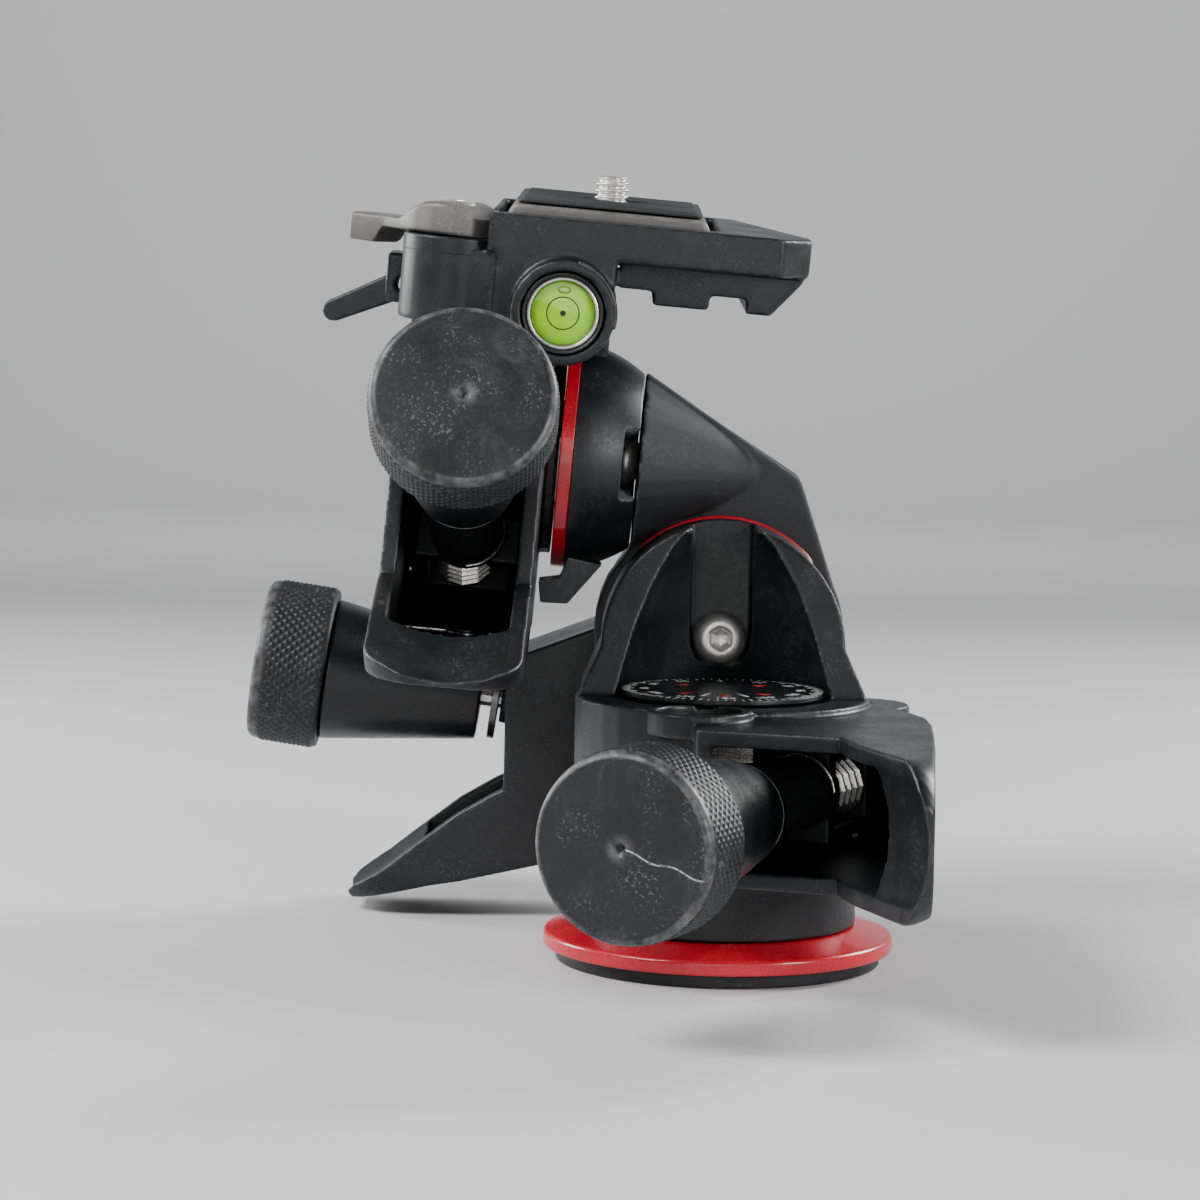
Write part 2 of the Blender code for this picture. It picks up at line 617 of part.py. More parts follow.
def make_knob(drive, placement):
    """A tapered core on the spindle, its rubber grip and the thrust washer behind it."""
    along = placement @ ALONG_WORM
    core_name = f"{drive}_knob_core"
    root = KNOB_RIM[0] - CLEARANCE
    profile = [(0, SPIGOT_END), (SPIGOT_RADIUS, SPIGOT_END), (SPIGOT_RADIUS, root),
               (BARREL_END_RADIUS, root), (BARREL_START_RADIUS, BARREL_START), (0, BARREL_START)]
    core = turned(core_name, profile, BLACK_CASTING, along, 24)
    for side in (-1, 1):
        depth = (BARREL_START_RADIUS + BARREL_END_RADIUS) / 2 - BARREL_FLAT_DEPTH
        low, high = sorted((side * depth, side * (BARREL_END_RADIUS + OVERRUN)))
        cut(core, block(f"{drive} barrel flat {side}", (BARREL_FLAT[0], low, -BARREL_START_RADIUS / 2),
                        (BARREL_FLAT[1], high, BARREL_START_RADIUS / 2), BLACK_CASTING, placement, CUTTERS))
    cut(core, rod(f"{drive} core bore", SPINDLE_RADIUS + CLEARANCE, BARREL_START - OVERRUN,
                  SPINDLE_END + CLEARANCE, STEEL, along, 16, CUTTERS))
    inner = SPIGOT_RADIUS + CLEARANCE
    low, high = KNOB_RIM
    grip = [(0, KNOB_CROWN - KNOB_DIMPLE / 2), (KNOB_DIMPLE, KNOB_CROWN),
            (KNOB_RADIUS / 2, KNOB_CROWN - KNOB_EDGE * CROWN_DROP_SHARE)]
    grip += arc((KNOB_RADIUS - KNOB_EDGE, high - KNOB_EDGE / 2), KNOB_EDGE, 90, 0, 3)
    grip += [(KNOB_RADIUS, low + KNOB_EDGE / 2), (KNOB_RADIUS - KNOB_EDGE / 2, low), (inner, low),
             (inner, SPIGOT_END + CLEARANCE), (0, SPIGOT_END + CLEARANCE)]
    turned(f"{drive}_knob_grip", grip, RUBBER, along, 28)
    washer(f"{drive}_thrust_washer", THRUST_RADIUS, SPINDLE_RADIUS + CLEARANCE, *THRUST, STEEL, along, 20)
    make_worm(f"{drive}_worm", placement)


def make_drive(drive):
    """Everything of a drive that repeats: carrier, worm, knob, pin and spring."""
    placement = DRIVES[drive]
    make_carrier(drive, placement)
    make_knob(drive, placement)
    make_spring(drive, placement)
    pivot = placement @ Matrix.Translation((-PIVOT_SETBACK, 0, 0))
    reach = DRIVE_HALF - CLEARANCE
    rod(f"{drive}_pivot_pin", PIVOT_PIN_RADIUS, -reach, reach, STEEL, pivot, 12)


def make_gear(drive, bore):
    """A drive's worm wheel."""
    wheel = DRIVES[drive] @ Matrix.Translation((0, -CENTRE_DISTANCE, 0))
    return make_wheel(f"{drive}_worm_wheel", wheel, bore)


# Base
FOOT_RADIUS = 0.0300
FOOT_HEIGHT = 0.0023
RING_RADIUS = 0.0324
RING_EDGE_HEIGHT = 0.0054
RING_TOP_HEIGHT = 0.0072
RING_BREAK = 0.0006
BASE_DRUM_RADIUS = 0.0254
BASE_DRUM_TOP = 0.0199
SPIGOT_SHOULDER_RADIUS = 0.0216
BUSH_BORE = 0.0042
BUSH_HEIGHT = 0.0130
NUT_HEIGHT = 0.0046
DIAL_RADIUS = 0.01905
DIAL_THICKNESS = 0.0009
DIAL_TOP = SHELF_HEIGHT + CLEARANCE + DIAL_THICKNESS
BODY_FOOT = PAN_WORM_HEIGHT - DRIVE_HALF
BODY_RADIUS = 0.0272


def make_base():
    """The standing parts: foot, red ring, drum, bush and the column with its wheel and dial."""
    washer("base_foot", FOOT_RADIUS, JOURNAL_RADIUS + CLEARANCE, 0, FOOT_HEIGHT, BLACK_CASTING, PAN, 40)
    low = FOOT_HEIGHT + CLEARANCE
    inner = SPIGOT_SHOULDER_RADIUS + CLEARANCE
    ring = [(inner, RING_TOP_HEIGHT), (BASE_DRUM_RADIUS, RING_TOP_HEIGHT),
            (RING_RADIUS - CLEARANCE, RING_EDGE_HEIGHT), (RING_RADIUS, RING_EDGE_HEIGHT - RING_BREAK),
            (RING_RADIUS, low + CLEARANCE), (RING_RADIUS - CLEARANCE, low), (inner, low)]
    turned("base_ring", ring, RED_RING, PAN, 44, True)
    seat = RING_TOP_HEIGHT + CLEARANCE
    core = JOURNAL_RADIUS + CLEARANCE
    drum = [(core, BASE_DRUM_TOP), (BASE_DRUM_RADIUS, BASE_DRUM_TOP), (BASE_DRUM_RADIUS, seat),
            (SPIGOT_SHOULDER_RADIUS, seat), (SPIGOT_SHOULDER_RADIUS, low), (core, low)]
    turned("base_drum", drum, BLACK_CASTING, PAN, 40, True)
    washer("tripod_bush", JOURNAL_RADIUS, BUSH_BORE, CLEARANCE, BUSH_HEIGHT, STEEL, PAN, 24)
    wheel_foot = PAN_WORM_HEIGHT - WHEEL_WIDTH / 2
    nut_foot = PAN_WORM_HEIGHT + WHEEL_WIDTH / 2 + CLEARANCE
    nut_top = nut_foot + NUT_HEIGHT
    rod("pan_column", JOURNAL_RADIUS, BUSH_HEIGHT + CLEARANCE, nut_top, STEEL, PAN, 24)
    bore = JOURNAL_RADIUS + CLEARANCE
    thrust_foot = BODY_FOOT + DRIVE_WALL + CLEARANCE
    washer("pan_thrust_ring", HUB_RADIUS, bore, thrust_foot, wheel_foot - CLEARANCE, BRASS, PAN, 28)
    make_gear("pan", bore)
    nut = arc((0, 0), HUB_RADIUS, 0, 300, 5)
    prism("column_nut", nut, nut_foot, nut_top, STEEL, PAN, holes=[arc((0, 0), bore, 0, 345, 23)])
    dial_foot = DIAL_TOP - DIAL_THICKNESS
    hub = JOURNAL_RADIUS - CLEARANCE
    dial = [(0, DIAL_TOP), (DIAL_RADIUS, DIAL_TOP), (DIAL_RADIUS, dial_foot), (hub, dial_foot),
            (hub, nut_top + CLEARANCE), (0, nut_top + CLEARANCE)]
    turned("pan_dial", dial, DIAL_BLACK, PAN, 36)


# Pan body
TOWER_RADIUS = 0.0226
TOWER_BACK = 0.0222
TOWER_FRONT = -0.0040
TOWER_LEAN = 14.9
TOWER_FLARE = (0.0262, 0.0500)
NICHE_APEX = 0.0850
NICHE_WIDENING = 0.0114
GROOVE_WIDTH = 0.0116
GROOVE_BACK = 0.0190
SCREW_HEAD_RADIUS = 0.0050
SCREW_HEAD_HEIGHT = 0.0034
SCREW_SHANK_RADIUS = 0.0030
SCREW_DOME_SHARES = ((0.55, 1.00), (0.86, 0.62), (1.00, 0.15), (1.00, 0.00))
SOCKET_RADIUS_SHARE = 0.5
SOCKET_FLOOR_SHARE = 0.35
EYE_FRONT = 0.0246
EYE_BACK = 0.0356
EYE_RADIUS = 0.0240
BRIDGE_TOP = 0.0334
BRIDGE_HALF = 0.0190
PAN_LEVEL = (-0.0050, -0.0270)
LEVEL_HOOD_RADIUS = 0.00925
LEVEL_BEZEL_RADIUS = 0.0073
LEVEL_VIAL_RADIUS = 0.0067
LEVEL_DEPTH = 0.0052
LEVEL_LIP = 0.0004
VIAL_GAP = 0.0001
VIAL_CROWN_SHARES = (2.0, 2.3, 3.0)
SHOULDER_FRONT = -0.0340
REAR_FRONT = ROLL_WORM_Y - DRIVE_HALF


def tower_outline():
    """The tower's front view: a round head over flared sides."""
    head = arc((0, ROLL_AXIS_HEIGHT), TOWER_RADIUS, 0, 180, 20)
    foot = BODY_FOOT + DRIVE_WALL
    side, shoulder = TOWER_FLARE
    return head + [(-side, shoulder), (-side, foot), (side, foot), (side, shoulder)]


def make_pan_housing():
    """The turning body: pan drum, pan drive frame, tower with its niche, level boss and the rear bridge."""
    body = rod("pan_housing", BODY_RADIUS, BASE_DRUM_TOP + CLEARANCE, SHELF_HEIGHT, BLACK_CASTING, PAN, 40)
    tower = prism("tower", tower_outline(), -TOWER_BACK, -SHOULDER_FRONT, BLACK_CASTING, FRONTAL, CUTTERS)
    lean = turned_about((0, TOWER_FRONT, SHELF_HEIGHT), "X", -TOWER_LEAN)
    big = PITCH_AXIS_HEIGHT + PITCH_AXIS_HEIGHT
    cut(tower, block("tower lean", (-big, -big, -big), (big, TOWER_FRONT, big),
                     BLACK_CASTING, lean, CUTTERS))
    join(body, tower)
    wing = prism("pan wing", frame_outline(), -DRIVE_HALF, DRIVE_HALF, BLACK_CASTING,
                 DRIVES["pan"], CUTTERS)
    join(body, wing)
    level = Matrix.Translation((*PAN_LEVEL, 0))
    join(body, rod("pan level boss", LEVEL_HOOD_RADIUS, PAN_WORM_HEIGHT + DRIVE_INNER_HALF + CLEARANCE,
                   SHELF_HEIGHT + LEVEL_LIP, BLACK_CASTING, level, 32, CUTTERS))
    join(body, block("rear bridge", (-BRIDGE_HALF, 0, BODY_FOOT + CLEARANCE),
                     (BRIDGE_HALF, REAR_FRONT - CLEARANCE, BRIDGE_TOP), BLACK_CASTING, PAN, CUTTERS))
    cut(body, block("arm room", (-big, TOWER_BACK, BRIDGE_TOP), (big, big, big), BLACK_CASTING, PAN, CUTTERS))
    steps = 6
    niche = []
    for index in range(steps + 1):
        height = SHELF_HEIGHT + (NICHE_APEX - SHELF_HEIGHT) * (1 - (index / steps) ** 2)
        niche.append((math.sqrt(NICHE_WIDENING * (NICHE_APEX - height)), height))
    niche.append((niche[-1][0], SHELF_HEIGHT - CLEARANCE))
    niche.append((0, SHELF_HEIGHT - CLEARANCE))
    cut(body, turned("niche", niche, BLACK_CASTING, PAN, 32, False, CUTTERS))
    half = GROOVE_WIDTH / 2
    groove = arc((0, ROLL_AXIS_HEIGHT), half, 180, 360, 8) + [(half, big), (-half, big)]
    cut(body, prism("tower groove", groove, -GROOVE_BACK, big, BLACK_CASTING, FRONTAL, CUTTERS))
    cut_drive_room(body, "pan", DRIVES["pan"])
    shape_wing(body, "pan", DRIVES["pan"])
    cut(body, rod("column bore", JOURNAL_RADIUS + CLEARANCE, -big, big, STEEL, PAN, 24, CUTTERS))
    shank = SCREW_SHANK_RADIUS + CLEARANCE
    cut(body, rod("roll screw bore", shank, -big, 0, STEEL, roll_axis(), 16, CUTTERS))
    seat_foot = SHELF_HEIGHT + LEVEL_LIP - LEVEL_DEPTH + CLEARANCE
    cut(body, rod("pan level seat", LEVEL_BEZEL_RADIUS + CLEARANCE, seat_foot, big,
                  BLACK_CASTING, level, 32, CUTTERS))
    return body


def roll_axis():
    """A placement whose Z is the roll axis, toward the camera."""
    return PAN @ Matrix.Translation((0, 0, ROLL_AXIS_HEIGHT)) @ FRONTAL


def make_level(name, placement):
    """A round level that faces along Z with its rim at height zero."""
    floor = -LEVEL_DEPTH + CLEARANCE + CLEARANCE
    washer(f"{name}_bezel", LEVEL_BEZEL_RADIUS, LEVEL_VIAL_RADIUS + VIAL_GAP, floor, -LEVEL_LIP, STEEL,
           placement, 24)
    rim = LEVEL_VIAL_RADIUS - CLEARANCE
    middle, half_way, edge = (-LEVEL_LIP * share for share in VIAL_CROWN_SHARES)
    crown = [(0, middle), (LEVEL_VIAL_RADIUS / 2, half_way), (rim, edge), (rim, floor), (0, floor)]
    turned(f"{name}_vial", crown, LEVEL_FLUID, placement, 24)


def make_roll_frame():
    """The rear cheek: the roll drive's frame with its claw-like wing."""
    place = DRIVES["roll"]
    frame = prism("roll_drive_frame", frame_outline(), -DRIVE_HALF, DRIVE_HALF, BLACK_CASTING, place)
    cut_drive_room(frame, "roll", place)
    shape_wing(frame, "roll", place)
    cut(frame, rod("roll hub bore", HUB_RADIUS + CLEARANCE, -ROLL_WORM_Y, -REAR_FRONT + OVERRUN, STEEL,
                   roll_axis(), 28, CUTTERS))
    return frame


def make_button_screw(name, length, placement):
    """A button head screw along -Z with its head's seat at zero and a hexagon socket."""
    dome = [(0, SCREW_HEAD_HEIGHT)] + scaled(SCREW_DOME_SHARES, SCREW_HEAD_RADIUS, SCREW_HEAD_HEIGHT)
    dome += [(SCREW_SHANK_RADIUS, 0), (SCREW_SHANK_RADIUS, -length), (0, -length)]
    screw = turned(name, dome, STEEL, placement, 24)
    socket = arc((0, 0), SCREW_HEAD_RADIUS * SOCKET_RADIUS_SHARE, 0, 300, 5)
    floor = SCREW_HEAD_HEIGHT * SOCKET_FLOOR_SHARE
    cut(screw, prism(f"{name} socket", socket, floor, SCREW_HEAD_HEIGHT + OVERRUN, STEEL, placement, CUTTERS))
    return screw


# Arm
ARM_CREST = (0.0129, 0.0889)
ARM_CORNER = (-0.0185, 0.1067)
HOUSING_START = -0.0188
HOUSING_NECK_RADIUS = 0.0168
HOUSING_RADIUS = 0.0212
HOUSING_SHOULDER = -0.0260
HOUSING_END = -0.0310
CONE_TIP = 0.0129
RED_WIDTH = 0.0022
ROLL_RING_RADIUS = 0.0233
PITCH_RING_RADIUS = 0.0215
ARM_RUN_RADIUS = 0.0237
NOTCH_WIDTH = 0.0022
NOTCH_HALF = 0.0037
STOP_OUTLINE_SHARES = ((0.00, 1.00), (-0.50, 0.02), (-0.94, 0.00), (-1.00, 0.50), (-0.66, 0.60),
                       (-0.55, 1.10))
STOP_REACH = 0.0116
STOP_DROP = 0.0081
STOP_PLACE = (-0.0237, 0.0622)
STOP_WIDTH = 0.0090
STOP_Y = 0.0100


def level_axis(y):
    """A placement in the arm whose Z is the roll axis toward the camera, at a depth."""
    return ARM @ Matrix.Translation((0, y, ROLL_AXIS_HEIGHT)) @ FRONTAL


def pitch_axis(link):
    """A placement whose Z is the pitch axis toward +X."""
    return link @ Matrix.Translation((0, PITCH_AXIS_Y, PITCH_AXIS_HEIGHT)) @ CROSSWISE


def make_arm():
    """The rolling arm: a flat eye on the roll axis that grows into the pitch hub's cone."""
    around = arc((0, ROLL_AXIS_HEIGHT), EYE_RADIUS, -202, 30, 28)
    outline = around + [ARM_CREST, ARM_CORNER, (ARM_CORNER[0], PITCH_AXIS_HEIGHT - HOUSING_NECK_RADIUS)]
    arm = prism("arm", outline, -EYE_BACK, -EYE_FRONT, GREY_CASTING, ARM @ FRONTAL)
    cone = turned("arm cone", [(0, CONE_TIP), (HOUSING_NECK_RADIUS, ARM_CORNER[0]), (0, ARM_CORNER[0])],
                  GREY_CASTING, pitch_axis(ARM), 32, False, CUTTERS)
    big = PITCH_AXIS_HEIGHT + PITCH_AXIS_HEIGHT
    for name, low, high in (("front run", EYE_FRONT - big, EYE_FRONT), ("rear run", EYE_BACK, big)):
        run = rod(f"arm {name}", ARM_RUN_RADIUS, -high, -low, GREY_CASTING, level_axis(0), 48, CUTTERS)
        cut(cone, run)
    join(arm, cone)
    room = [(0, ARM_CORNER[0])] + housing_profile(CLEARANCE)[1:]
    cut(arm, turned("housing room", room, BLACK_CASTING, pitch_axis(ARM), 40, False, CUTTERS))
    cut(arm, rod("arm bore", JOURNAL_RADIUS + CLEARANCE, -big, big, STEEL, level_axis(0), 24, CUTTERS))
    seam = ARM_CORNER[0]
    cut(arm, rod("arm pitch bore", SCREW_HEAD_RADIUS + CLEARANCE, seam - OVERRUN, seam + SCREW_HEAD_HEIGHT,
                 STEEL, pitch_axis(ARM), 20, CUTTERS))
    return arm


def housing_profile(extra):
    """The pitch housing's turned profile, grown by a clearance where another piece makes room for it."""
    return [(0, HOUSING_START + extra), (HOUSING_NECK_RADIUS + extra, HOUSING_START + extra),
            (HOUSING_RADIUS + extra, HOUSING_SHOULDER), (HOUSING_RADIUS + extra, HOUSING_END),
            (0, HOUSING_END)]


def make_pitch_housing():
    """The smooth drum on the arm that carries the pitch axle, with the notch over the screw's head."""
    housing = turned("pitch_housing", housing_profile(0), BLACK_CASTING, pitch_axis(ARM), 40)
    outline = scaled(STOP_OUTLINE_SHARES, STOP_REACH, STOP_DROP)
    stop = [(STOP_PLACE[0] + x, STOP_PLACE[1] + z) for x, z in outline]
    join(housing, prism("pitch stop", stop, -STOP_Y - STOP_WIDTH, -STOP_Y, BLACK_CASTING, ARM @ FRONTAL,
                        CUTTERS))
    seat = HOUSING_START - NOTCH_WIDTH
    notch_low = (seat, PITCH_AXIS_Y - HOUSING_RADIUS, PITCH_AXIS_HEIGHT - NOTCH_HALF)
    notch_high = (HOUSING_START + OVERRUN, PITCH_AXIS_Y - SCREW_HEAD_RADIUS / 2,
                  PITCH_AXIS_HEIGHT + NOTCH_HALF)
    cut(housing, block("screw notch", notch_low, notch_high, BLACK_CASTING, ARM, CUTTERS))
    axis = pitch_axis(ARM)
    cut(housing, rod("screw pocket", SCREW_HEAD_RADIUS + CLEARANCE, seat, 0, STEEL, axis, 24, CUTTERS))
    cut(housing, rod("axle bore", JOURNAL_RADIUS + CLEARANCE, HOUSING_END - OVERRUN, HOUSING_END + OVERRUN,
                     STEEL, axis, 24, CUTTERS))
    cut(housing, rod("axle screw bore", SCREW_SHANK_RADIUS + CLEARANCE, HOUSING_END, 0, STEEL, axis, 16,
                     CUTTERS))
    return housing


def make_hub(name, shoulder, flange, end, placement):
    """A stepped hub along -Z: a wide neck through the frame's wall, then the wheel's journal."""
    bore = SCREW_SHANK_RADIUS + CLEARANCE
    profile = [(bore, shoulder), (JOURNAL_RADIUS, shoulder), (JOURNAL_RADIUS, flange[0]),
               (HUB_RADIUS, flange[0]), (HUB_RADIUS, flange[1]), (JOURNAL_RADIUS, flange[1]),
               (JOURNAL_RADIUS, end), (bore, end)]
    return turned(name, profile, STEEL, placement, 20, True)


def make_roll_joint():
    """Red ring, hub, wheel and screw on the roll axis."""
    washer("roll_ring", ROLL_RING_RADIUS, SCREW_SHANK_RADIUS + CLEARANCE, -EYE_FRONT + CLEARANCE,
           -TOWER_BACK - CLEARANCE, RED_RING, level_axis(0), 40)
    wheel = (ROLL_WORM_Y - WHEEL_WIDTH / 2, ROLL_WORM_Y + WHEEL_WIDTH / 2)
    flange = (-EYE_BACK - CLEARANCE, -wheel[0] + CLEARANCE)
    make_hub("roll_hub", -EYE_FRONT, flange, -wheel[1], level_axis(0))
    make_gear("roll", JOURNAL_RADIUS + CLEARANCE)
    head = roll_axis() @ Matrix.Translation((0, 0, -GROOVE_BACK + CLEARANCE))
    make_button_screw("roll_axle_screw", wheel[1] - GROOVE_BACK - CLEARANCE, head)


def make_pitch_joint():
    """Red ring, hub, wheel and screw on the pitch axis."""
    axis = pitch_axis(ARM)
    wheel = (PITCH_WORM_X + WHEEL_WIDTH / 2, PITCH_WORM_X - WHEEL_WIDTH / 2)
    ring_high = HOUSING_END - CLEARANCE
    washer("pitch_ring", PITCH_RING_RADIUS, HUB_RADIUS + CLEARANCE, ring_high - RED_WIDTH, ring_high,
           RED_RING, axis, 40)
    flange = (ring_high, wheel[0] + CLEARANCE)
    make_hub("pitch_hub", HOUSING_END + OVERRUN - CLEARANCE, flange, wheel[1], axis)
    make_gear("pitch", JOURNAL_RADIUS + CLEARANCE)
    seat = axis @ Matrix.Translation((0, 0, HOUSING_START - NOTCH_WIDTH + CLEARANCE))
    make_button_screw("pitch_axle_screw", HOUSING_START - NOTCH_WIDTH - wheel[1] - CLEARANCE, seat)


# Tilt head, its heights and depths counted from the pitch axis
PLATFORM_TOP = 0.0465
PLATFORM_FOOT = 0.0394
PLATFORM_LEFT = -0.0500
PLATFORM_RIGHT = 0.0090
PLATFORM_FRONT = -0.0338
PLATFORM_BACK = 0.0300
PLATFORM_WIDTH = PLATFORM_RIGHT - PLATFORM_LEFT
PLATFORM_DEPTH = PLATFORM_BACK - PLATFORM_FRONT
PLATFORM_SHARES = ((0.000, 0.000), (0.907, 0.000), (1.000, 0.099), (1.000, 0.216), (0.788, 1.000),
                   (0.000, 1.000))
PLATE_WIDTH = 0.0400
PLATE_TOP_WIDTH = 0.0356
PLATE_LENGTH = 0.0520
PLATE_X = -0.0284
PLATE_SEAT = 0.0382
PLATE_EDGE = 0.0432
PLATE_TOP = 0.0481
PAD_THICKNESS = 0.0007
PAD_MARGIN = 0.0026
PAD_HOLE_SHARE = 1.6
CAMERA_SCREW_RADIUS = 0.003175
CAMERA_SCREW_EDGE_SHARE = 0.2
CAMERA_SCREW_TOP = 0.0538
CAMERA_SLOT_SHARE = 0.25
CAMERA_HEAD_RADIUS = 0.0080
CAMERA_HEAD_HEIGHT = 0.0018
CORE_HALF = 0.0285
CORE_LEFT = -0.0255
CORE_WIDTH = 0.0335
CORE_DROP = 0.0320
CORE_RISE = 0.0100
CORE_SHARES = ((0.00, 0.26), (0.19, 0.26), (0.19, 0.00), (0.50, 0.00), (0.50, 0.27), (0.70, 0.27),
               (0.70, 0.00), (0.84, 0.00), (1.00, 0.65), (1.00, 1.00), (0.00, 1.00))
BODY_LEFT = -0.0480
BODY_RIGHT = -0.0262
BODY_LOW = 0.0205
BODY_BACK = 0.0160
SADDLE_RADIUS = FRAME_WHEEL_RADIUS + CLEARANCE
COLLAR_SHARE = 0.85
NECK_RIGHT = PITCH_WORM_X + DRIVE_HALF
NECK_LEFT = PITCH_WORM_X - DRIVE_HALF
NECK_HALF = 0.0145
LEVEL_PLACE = (-0.0351, -0.0395, 0.0298)
LEVER_BOSS_RADIUS = 0.0090
LEVER_BOSS = (-0.0566, -0.0245)
LEVER_BOSS_LOW = 0.0255
LEVER_BOSS_TOP = 0.0396
BOSS_WEB_SHARE = 0.9
LEVER_TIP = (-0.0710, -0.0150)
LEVER_TIP_RADIUS = 0.0042
LEVER_THICKNESS = 0.0052
LEVER_CROWN = 0.0014
LEVER_TIP_DROP = 0.0030
LEVER_SCREW_RADIUS = 0.0024
LEVER_SEAT_SHARE = 0.6
CATCH_PIVOT = (-0.0655, 0.0305)
CATCH_Y = -0.0090
CATCH_HALF = 0.0026
CATCH_REACH = 0.0150
CATCH_DROP = 0.0062
CATCH_ROOT_RADIUS = 0.0028
CATCH_TIP_RADIUS = 0.0021
CATCH_EDGE = 0.000525
CATCH_PIN_RADIUS = 0.0012
LUG_WIDTH = 0.0020
LUG_REACH = 0.0035


def head_place(x=0, y=0, z=0):
    """A placement in the tilt head, counted from the pitch axis."""
    return HEAD @ Matrix.Translation((x, PITCH_AXIS_Y + y, PITCH_AXIS_HEIGHT + z))


def make_platform():
    """The platform casting: the plate's pocket on a ribbed core, the body, the level hood, the lever boss."""
    place = head_place()
    outline = scaled(PLATFORM_SHARES, PLATFORM_WIDTH, PLATFORM_DEPTH)
    plan = [(PLATFORM_LEFT + x, PLATFORM_FRONT + y) for x, y in outline]
    platform = prism("platform", plan, PLATFORM_FOOT, PLATFORM_TOP, BLACK_CASTING, place)
    core = [(CORE_LEFT + x, CORE_DROP + z) for x, z in scaled(CORE_SHARES, CORE_WIDTH, CORE_RISE)]
    join(platform, prism("platform core", core, -CORE_HALF, CORE_HALF, BLACK_CASTING, place @ FRONTAL,
                         CUTTERS))
    join(platform, block("head body", (BODY_LEFT, PLATFORM_FRONT, BODY_LOW),
                         (BODY_RIGHT, BODY_BACK, PLATFORM_FOOT + OVERRUN), BLACK_CASTING, place, CUTTERS))
    web_top = LEVER_BOSS_TOP - CLEARANCE
    join(platform, block("head neck", (NECK_LEFT, -NECK_HALF, 0), (NECK_RIGHT, NECK_HALF, web_top),
                         BLACK_CASTING, place, CUTTERS))
    boss = head_place(*LEVER_BOSS)
    join(platform, rod("lever boss", LEVER_BOSS_RADIUS, LEVER_BOSS_LOW, LEVER_BOSS_TOP, BLACK_CASTING, boss,
                       32, CUTTERS))
    web_front = LEVER_BOSS[1] - LEVER_BOSS_RADIUS * BOSS_WEB_SHARE
    join(platform, block("boss web", (LEVER_BOSS[0], web_front, LEVER_BOSS_LOW + CLEARANCE),
                         (BODY_LEFT + OVERRUN, -NECK_HALF + OVERRUN, web_top), BLACK_CASTING, place,
                         CUTTERS))
    level = head_place(*LEVEL_PLACE) @ FRONTAL
    join(platform, rod("level hood", LEVEL_HOOD_RADIUS + CLEARANCE, PLATFORM_FRONT, 0, BLACK_CASTING, level,
                       32, CUTTERS))
    lug_low = CATCH_PIVOT[1] - LUG_REACH
    lug = (CATCH_PIVOT[0] - LUG_REACH, CATCH_Y - CATCH_HALF - LUG_WIDTH, lug_low)
    lug_far = (NECK_LEFT + OVERRUN, CATCH_Y + CATCH_HALF + LUG_WIDTH, web_top - LEVER_TIP_DROP)
    join(platform, block("catch lugs", lug, lug_far, BLACK_CASTING, place, CUTTERS))
    big = PITCH_AXIS_HEIGHT + PITCH_AXIS_HEIGHT
    slot_low = (-big, CATCH_Y - CATCH_HALF - CLEARANCE, lug_low - OVERRUN)
    slot_high = (CATCH_PIVOT[0] + LUG_REACH, CATCH_Y + CATCH_HALF + CLEARANCE, CATCH_PIVOT[1] + LUG_REACH)
    cut(platform, block("catch slot", slot_low, slot_high, BLACK_CASTING, place, CUTTERS))
    cut(platform, rod("catch bore", CATCH_PIN_RADIUS + CLEARANCE, -CATCH_HALF - LUG_WIDTH - OVERRUN / 2,
                      CATCH_HALF + LUG_WIDTH + OVERRUN / 2, STEEL, catch_axis(), 12, CUTTERS))
    half = PLATE_WIDTH / 2 + CLEARANCE
    cut(platform, block("plate pocket", (PLATE_X - half, -PLATE_LENGTH / 2 - CLEARANCE, PLATE_SEAT),
                        (PLATE_X + half, PLATE_LENGTH / 2 + CLEARANCE, big), BLACK_CASTING, place, CUTTERS))
    cut(platform, rod("saddle", SADDLE_RADIUS, -big, 0, BLACK_CASTING, place @ CROSSWISE, 40, CUTTERS))
    seat = LEVEL_BEZEL_RADIUS + CLEARANCE
    cut(platform, rod("head level seat", seat, -LEVEL_DEPTH + CLEARANCE, OVERRUN, BLACK_CASTING, level, 32,
                      CUTTERS))
    cut(platform, rod("lever room", LEVER_BOSS_RADIUS + CLEARANCE, LEVER_BOSS_TOP, big, ZINC, boss, 32,
                      CUTTERS))
    cut(platform, rod("lever screw bore", LEVER_SCREW_RADIUS + CLEARANCE, LEVER_BOSS_LOW + OVERRUN, big,
                      STEEL, boss, 12, CUTTERS))
    return platform


def catch_axis():
    """A placement whose Z is the safety catch's pivot, toward the camera."""
    return head_place(CATCH_PIVOT[0], CATCH_Y, CATCH_PIVOT[1]) @ FRONTAL


def make_pitch_frame():
    """The pitch drive's frame, with the collar that runs beside the red ring."""
    place = DRIVES["pitch"]
    frame = prism("pitch_drive_frame", frame_outline(), -DRIVE_HALF, DRIVE_HALF, BLACK_CASTING, place)
    axis = place @ Matrix.Translation((0, -CENTRE_DISTANCE, 0))
    collar = HOUSING_END - RED_WIDTH - CLEARANCE - CLEARANCE - PITCH_WORM_X
    join(frame, rod("pitch collar", FRAME_WHEEL_RADIUS * COLLAR_SHARE, DRIVE_HALF - DRIVE_WALL / 2, collar,
                    BLACK_CASTING, axis, 28, CUTTERS))
    cut_drive_room(frame, "pitch", place)
    shape_wing(frame, "pitch", place)
    cut(frame, rod("pitch hub bore", HUB_RADIUS + CLEARANCE, DRIVE_INNER_HALF - OVERRUN, collar + OVERRUN,
                   STEEL, axis, 28, CUTTERS))
    return frame


